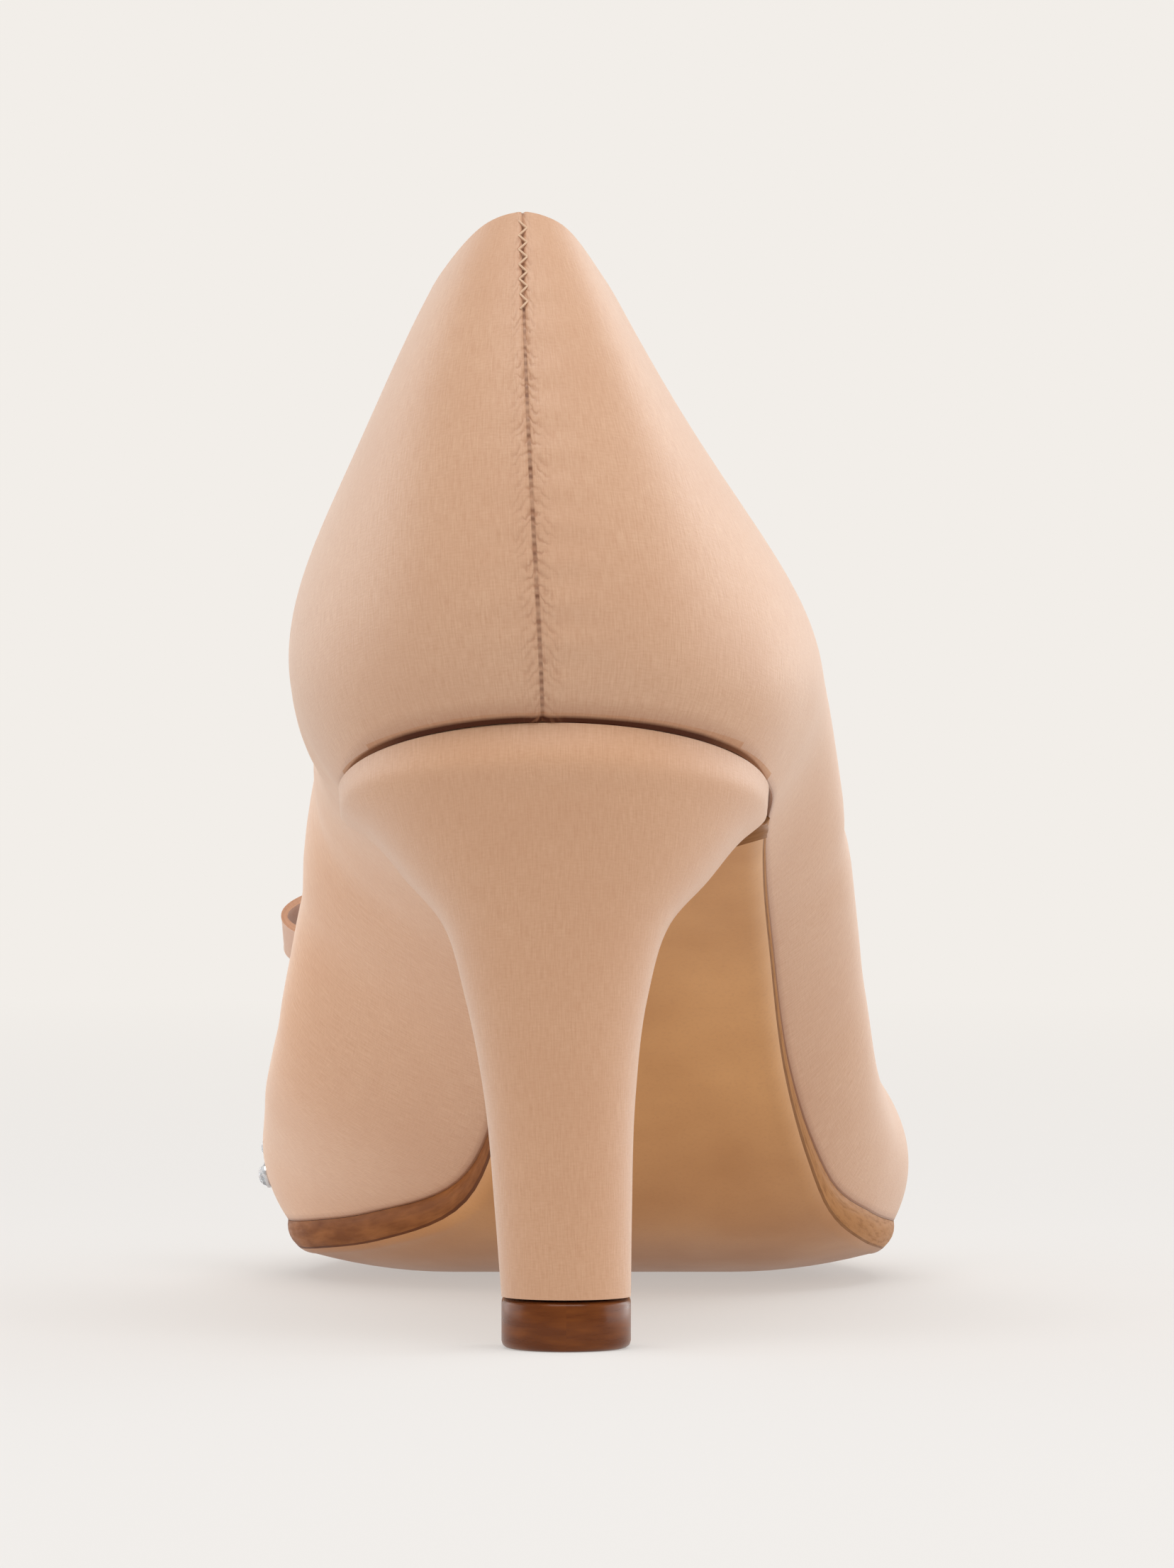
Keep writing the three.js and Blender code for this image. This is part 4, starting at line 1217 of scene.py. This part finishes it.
def knot_spot(turn, angle):
    """A place on the knot, by its turn from one end to the other and its angle round."""
    across, girth = cos(turn), sin(turn)
    pleat = 1 + KNOT_PLEAT * sin(across * KNOT_PLEATS + KNOT_WANDER * sin(2 * angle))
    forward = KNOT_HALF[1] * swollen(girth * cos(angle)) * pleat
    normal = KNOT_HALF[2] * swollen(girth * sin(angle)) * pleat
    aside = Vector((KNOT_HALF[0] * swollen(across), 0, 0))
    return BOW_CENTRE + aside + BOW_FORWARD * forward + BOW_NORMAL * normal


def build_bow_knot():
    """The wrapped middle: a soft block with pleats running round it."""
    turns = [pi * row / KNOT_ROWS for row in range(1, KNOT_ROWS)]
    angles = [2 * pi * column / KNOT_COLUMNS for column in range(KNOT_COLUMNS)]
    loops = [[knot_spot(turn, angle) for angle in angles] for turn in turns]
    piece = loft_piece("bow_knot_ribbon", loops, [RIBBON], "ribbon")
    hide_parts("bow_knot")


build_bow_loop(1, "bow_loop_lateral")
build_bow_loop(-1, "bow_loop_medial")
build_bow_knot()


# Stones: radius and height of each ring, up the outside, and in the cups down again inside

STONE_RINGS = [(0.9, 0.12), (1.46, 0.42), (1.46, 0.52), (1.18, 0.98), (0.86, 1.32)]
CUP_RINGS = [(1.05, 0.0), (1.5, 0.02), (1.62, 0.3), (1.6, 0.52), (1.5, 0.54), (1.46, 0.3), (0.8, 0.1)]
STONE_SIDES = 8
STONE_TWIST = 0.5
CUP_SIDES = 20
FACET_ANGLE = 0.02
SPOT_STEP = 0.02


def joined(lofts):
    """Points and faces of several closed forms as one mesh."""
    points, faces = [], []
    for more, more_faces, _ in lofts:
        start = len(points)
        points += more
        faces += [tuple(index + start for index in face) for face in more_faces]
    return points, faces


def wall_spot(side, reach, rise, climb_step):
    """A place on the last, the way out from it and the way up along it."""
    controls = wall_controls(side, reach)
    spot = on_wall(controls, rise)
    climb = on_wall(controls, rise + climb_step) - spot
    run = on_wall(wall_controls(side, reach + SPOT_STEP), rise) - spot
    return spot, (run.cross(climb) * side).normalized(), climb.normalized()


def stone_spots():
    for side in (1, -1):
        low, high = REACH[THROAT - 1] + STONE_START[side], BOW_REACH
        for i in range(STONES_PER_SIDE):
            share = i / (STONES_PER_SIDE - 1)
            rise = STONE_LOW_RISE + (STONE_HIGH_RISE - STONE_LOW_RISE) * share
            yield wall_spot(side, low + (high - low) * share, rise, SPOT_STEP)


def ring(centre, first, second, radius, sides, shift=0):
    angles = [2 * pi * (i + shift) / sides for i in range(sides)]
    return [centre + (first * cos(angle) + second * sin(angle)) * radius for angle in angles]


def turned(rings, sides, twist, spot, normal, climb):
    """A form through rings on one stone's place, every second ring twisted."""
    across = climb.cross(normal).normalized()
    loops = []
    for k, (radius, height) in enumerate(rings):
        centre = spot + normal * (height + STONE_GAP)
        loops.append(ring(centre, across, climb, radius, sides, twist * (k % 2)))
    return lofted(loops)


def build_stones():
    forms = [turned(STONE_RINGS, STONE_SIDES, STONE_TWIST, *spot) for spot in stone_spots()]
    stones = make_piece("cut_stones", *joined(forms), [GLASS], "stone", sharp=FACET_ANGLE)
    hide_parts(*[f"stone_{side}_{i + 1}" for side in ("lateral", "medial")
                          for i in range(STONES_PER_SIDE)])


def build_cups():
    forms = [turned(CUP_RINGS, CUP_SIDES, 0, *spot) for spot in stone_spots()]
    make_piece("stone_cups", *joined(forms), [SILVER], "stone")


build_stones()
build_cups()


# Threads of the back seam

THREAD_SIDES = 8
THREAD_STEPS = 8
THREAD_CLIMB = 0.01
SEAM_STEPS = 20
ACROSS_THREAD = Vector((0, 1, 0.3))


def thread_tube(path):
    loops = []
    for i, spot in enumerate(path):
        ahead = (path[min(i + 1, len(path) - 1)] - path[max(i - 1, 0)]).normalized()
        first = ahead.cross(ACROSS_THREAD).normalized()
        loops.append(ring(spot, first, ahead.cross(first), THREAD_RADIUS, THREAD_SIDES))
    return lofted(loops)


def seam_spot(side, reach, rise):
    """A place on the satin beside the back seam."""
    spot, normal, _ = wall_spot(side, reach, rise, THREAD_CLIMB)
    return spot + normal * satin_relief(side, reach, spot, rise)


def build_zigzag():
    """A zigzag over the top of the back seam, narrowing downwards."""
    length = lengths_along([on_wall(wall_controls(1, 0), t) for t in even_steps(0, 1, SEAM_STEPS)])[-1]
    spots = []
    for turn in range(2 * ZIGZAG_TURNS + 1):
        share = turn / (2 * ZIGZAG_TURNS)
        aside = ZIGZAG_HALF_WIDTH * (1 - ZIGZAG_NARROWING * share)
        spots.append(seam_spot(1 if turn % 2 else -1, aside, ZIGZAG_TOP - share * ZIGZAG_LENGTH / length))
    sag = Vector((0, -THREAD_SAG, 0))
    forms = []
    for start, end in zip(spots, spots[1:]):
        steps = even_steps(0, 1, THREAD_STEPS)
        forms.append(thread_tube([start.lerp(end, t) + sag * sin(pi * t) for t in steps]))
    make_piece("back_seam_zigzag", *joined(forms), [THREAD], "satin")


build_zigzag()


# Floor, light and camera

def build_floor():
    """A pale sweep: flat under the shoe, curving up far behind it."""
    run = [(FLOOR_FRONT, 0.0), (FLOOR_BACK, 0.0)]
    for angle in even_steps(0, pi / 2, SWEEP_STEPS)[1:]:
        run.append((FLOOR_BACK + SWEEP_RADIUS * sin(angle), SWEEP_RADIUS * (1 - cos(angle))))
    run.append((FLOOR_BACK + SWEEP_RADIUS, SWEEP_TOP))
    points = [(x, along, height) for along, height in run for x in (-FLOOR_HALF_WIDTH, FLOOR_HALF_WIDTH)]
    faces = [(2 * i, 2 * i + 1, 2 * i + 3, 2 * i + 2) for i in range(len(run) - 1)]
    floor = add_object("floor", make_mesh("floor", points, faces, [floor_paper()]))


def facing(spot, target):
    return (Vector(target) - Vector(spot)).to_track_quat("-Z", "Y").to_euler()


def add_light(name, kind, spot, target, power):
    data = bpy.data.lights.new(name, kind)
    data.energy = power
    light = add_object(name, data)
    light.location = spot
    light.rotation_euler = facing(spot, target)
    return data


def build_lights():
    kick = add_light("medial_kick", "SPOT", KICK_PLACE, KICK_AIM, KICK_POWER)
    kick.spot_size = radians(KICK_CONE)
    kick.spot_blend = 1.0
    kick.shadow_soft_size = KICK_SOFTNESS
    for name, (spot, size, power) in SOFTBOXES.items():
        box = add_light(name, "AREA", spot, LIGHT_AIM, power)
        box.shape = "RECTANGLE"
        box.size, box.size_y = size


def build_studio():
    world = bpy.data.worlds.new("studio")
    world.use_nodes = True
    backdrop = world.node_tree.nodes["Background"]
    backdrop.inputs["Color"].default_value = tone("studio")
    backdrop.inputs["Strength"].default_value = STUDIO_STRENGTH
    bpy.context.scene.world = world
    bpy.context.scene.view_settings.view_transform = "Standard"


def build_camera():
    data = bpy.data.cameras.new("camera")
    data.sensor_fit = "VERTICAL"
    data.sensor_height = SENSOR
    camera = add_object("camera", data)
    spot = Vector((0, -CAMERA_BACK, CAMERA_HEIGHT))
    aim = Vector(AIM)
    data.lens = SENSOR * (aim - spot).length / FRAME_HEIGHT
    data.clip_end = CAMERA_FAR
    camera.location = place(spot)
    camera.rotation_euler = facing(spot, aim)
    bpy.context.scene.camera = camera


build_floor()
build_lights()
build_studio()
build_camera()
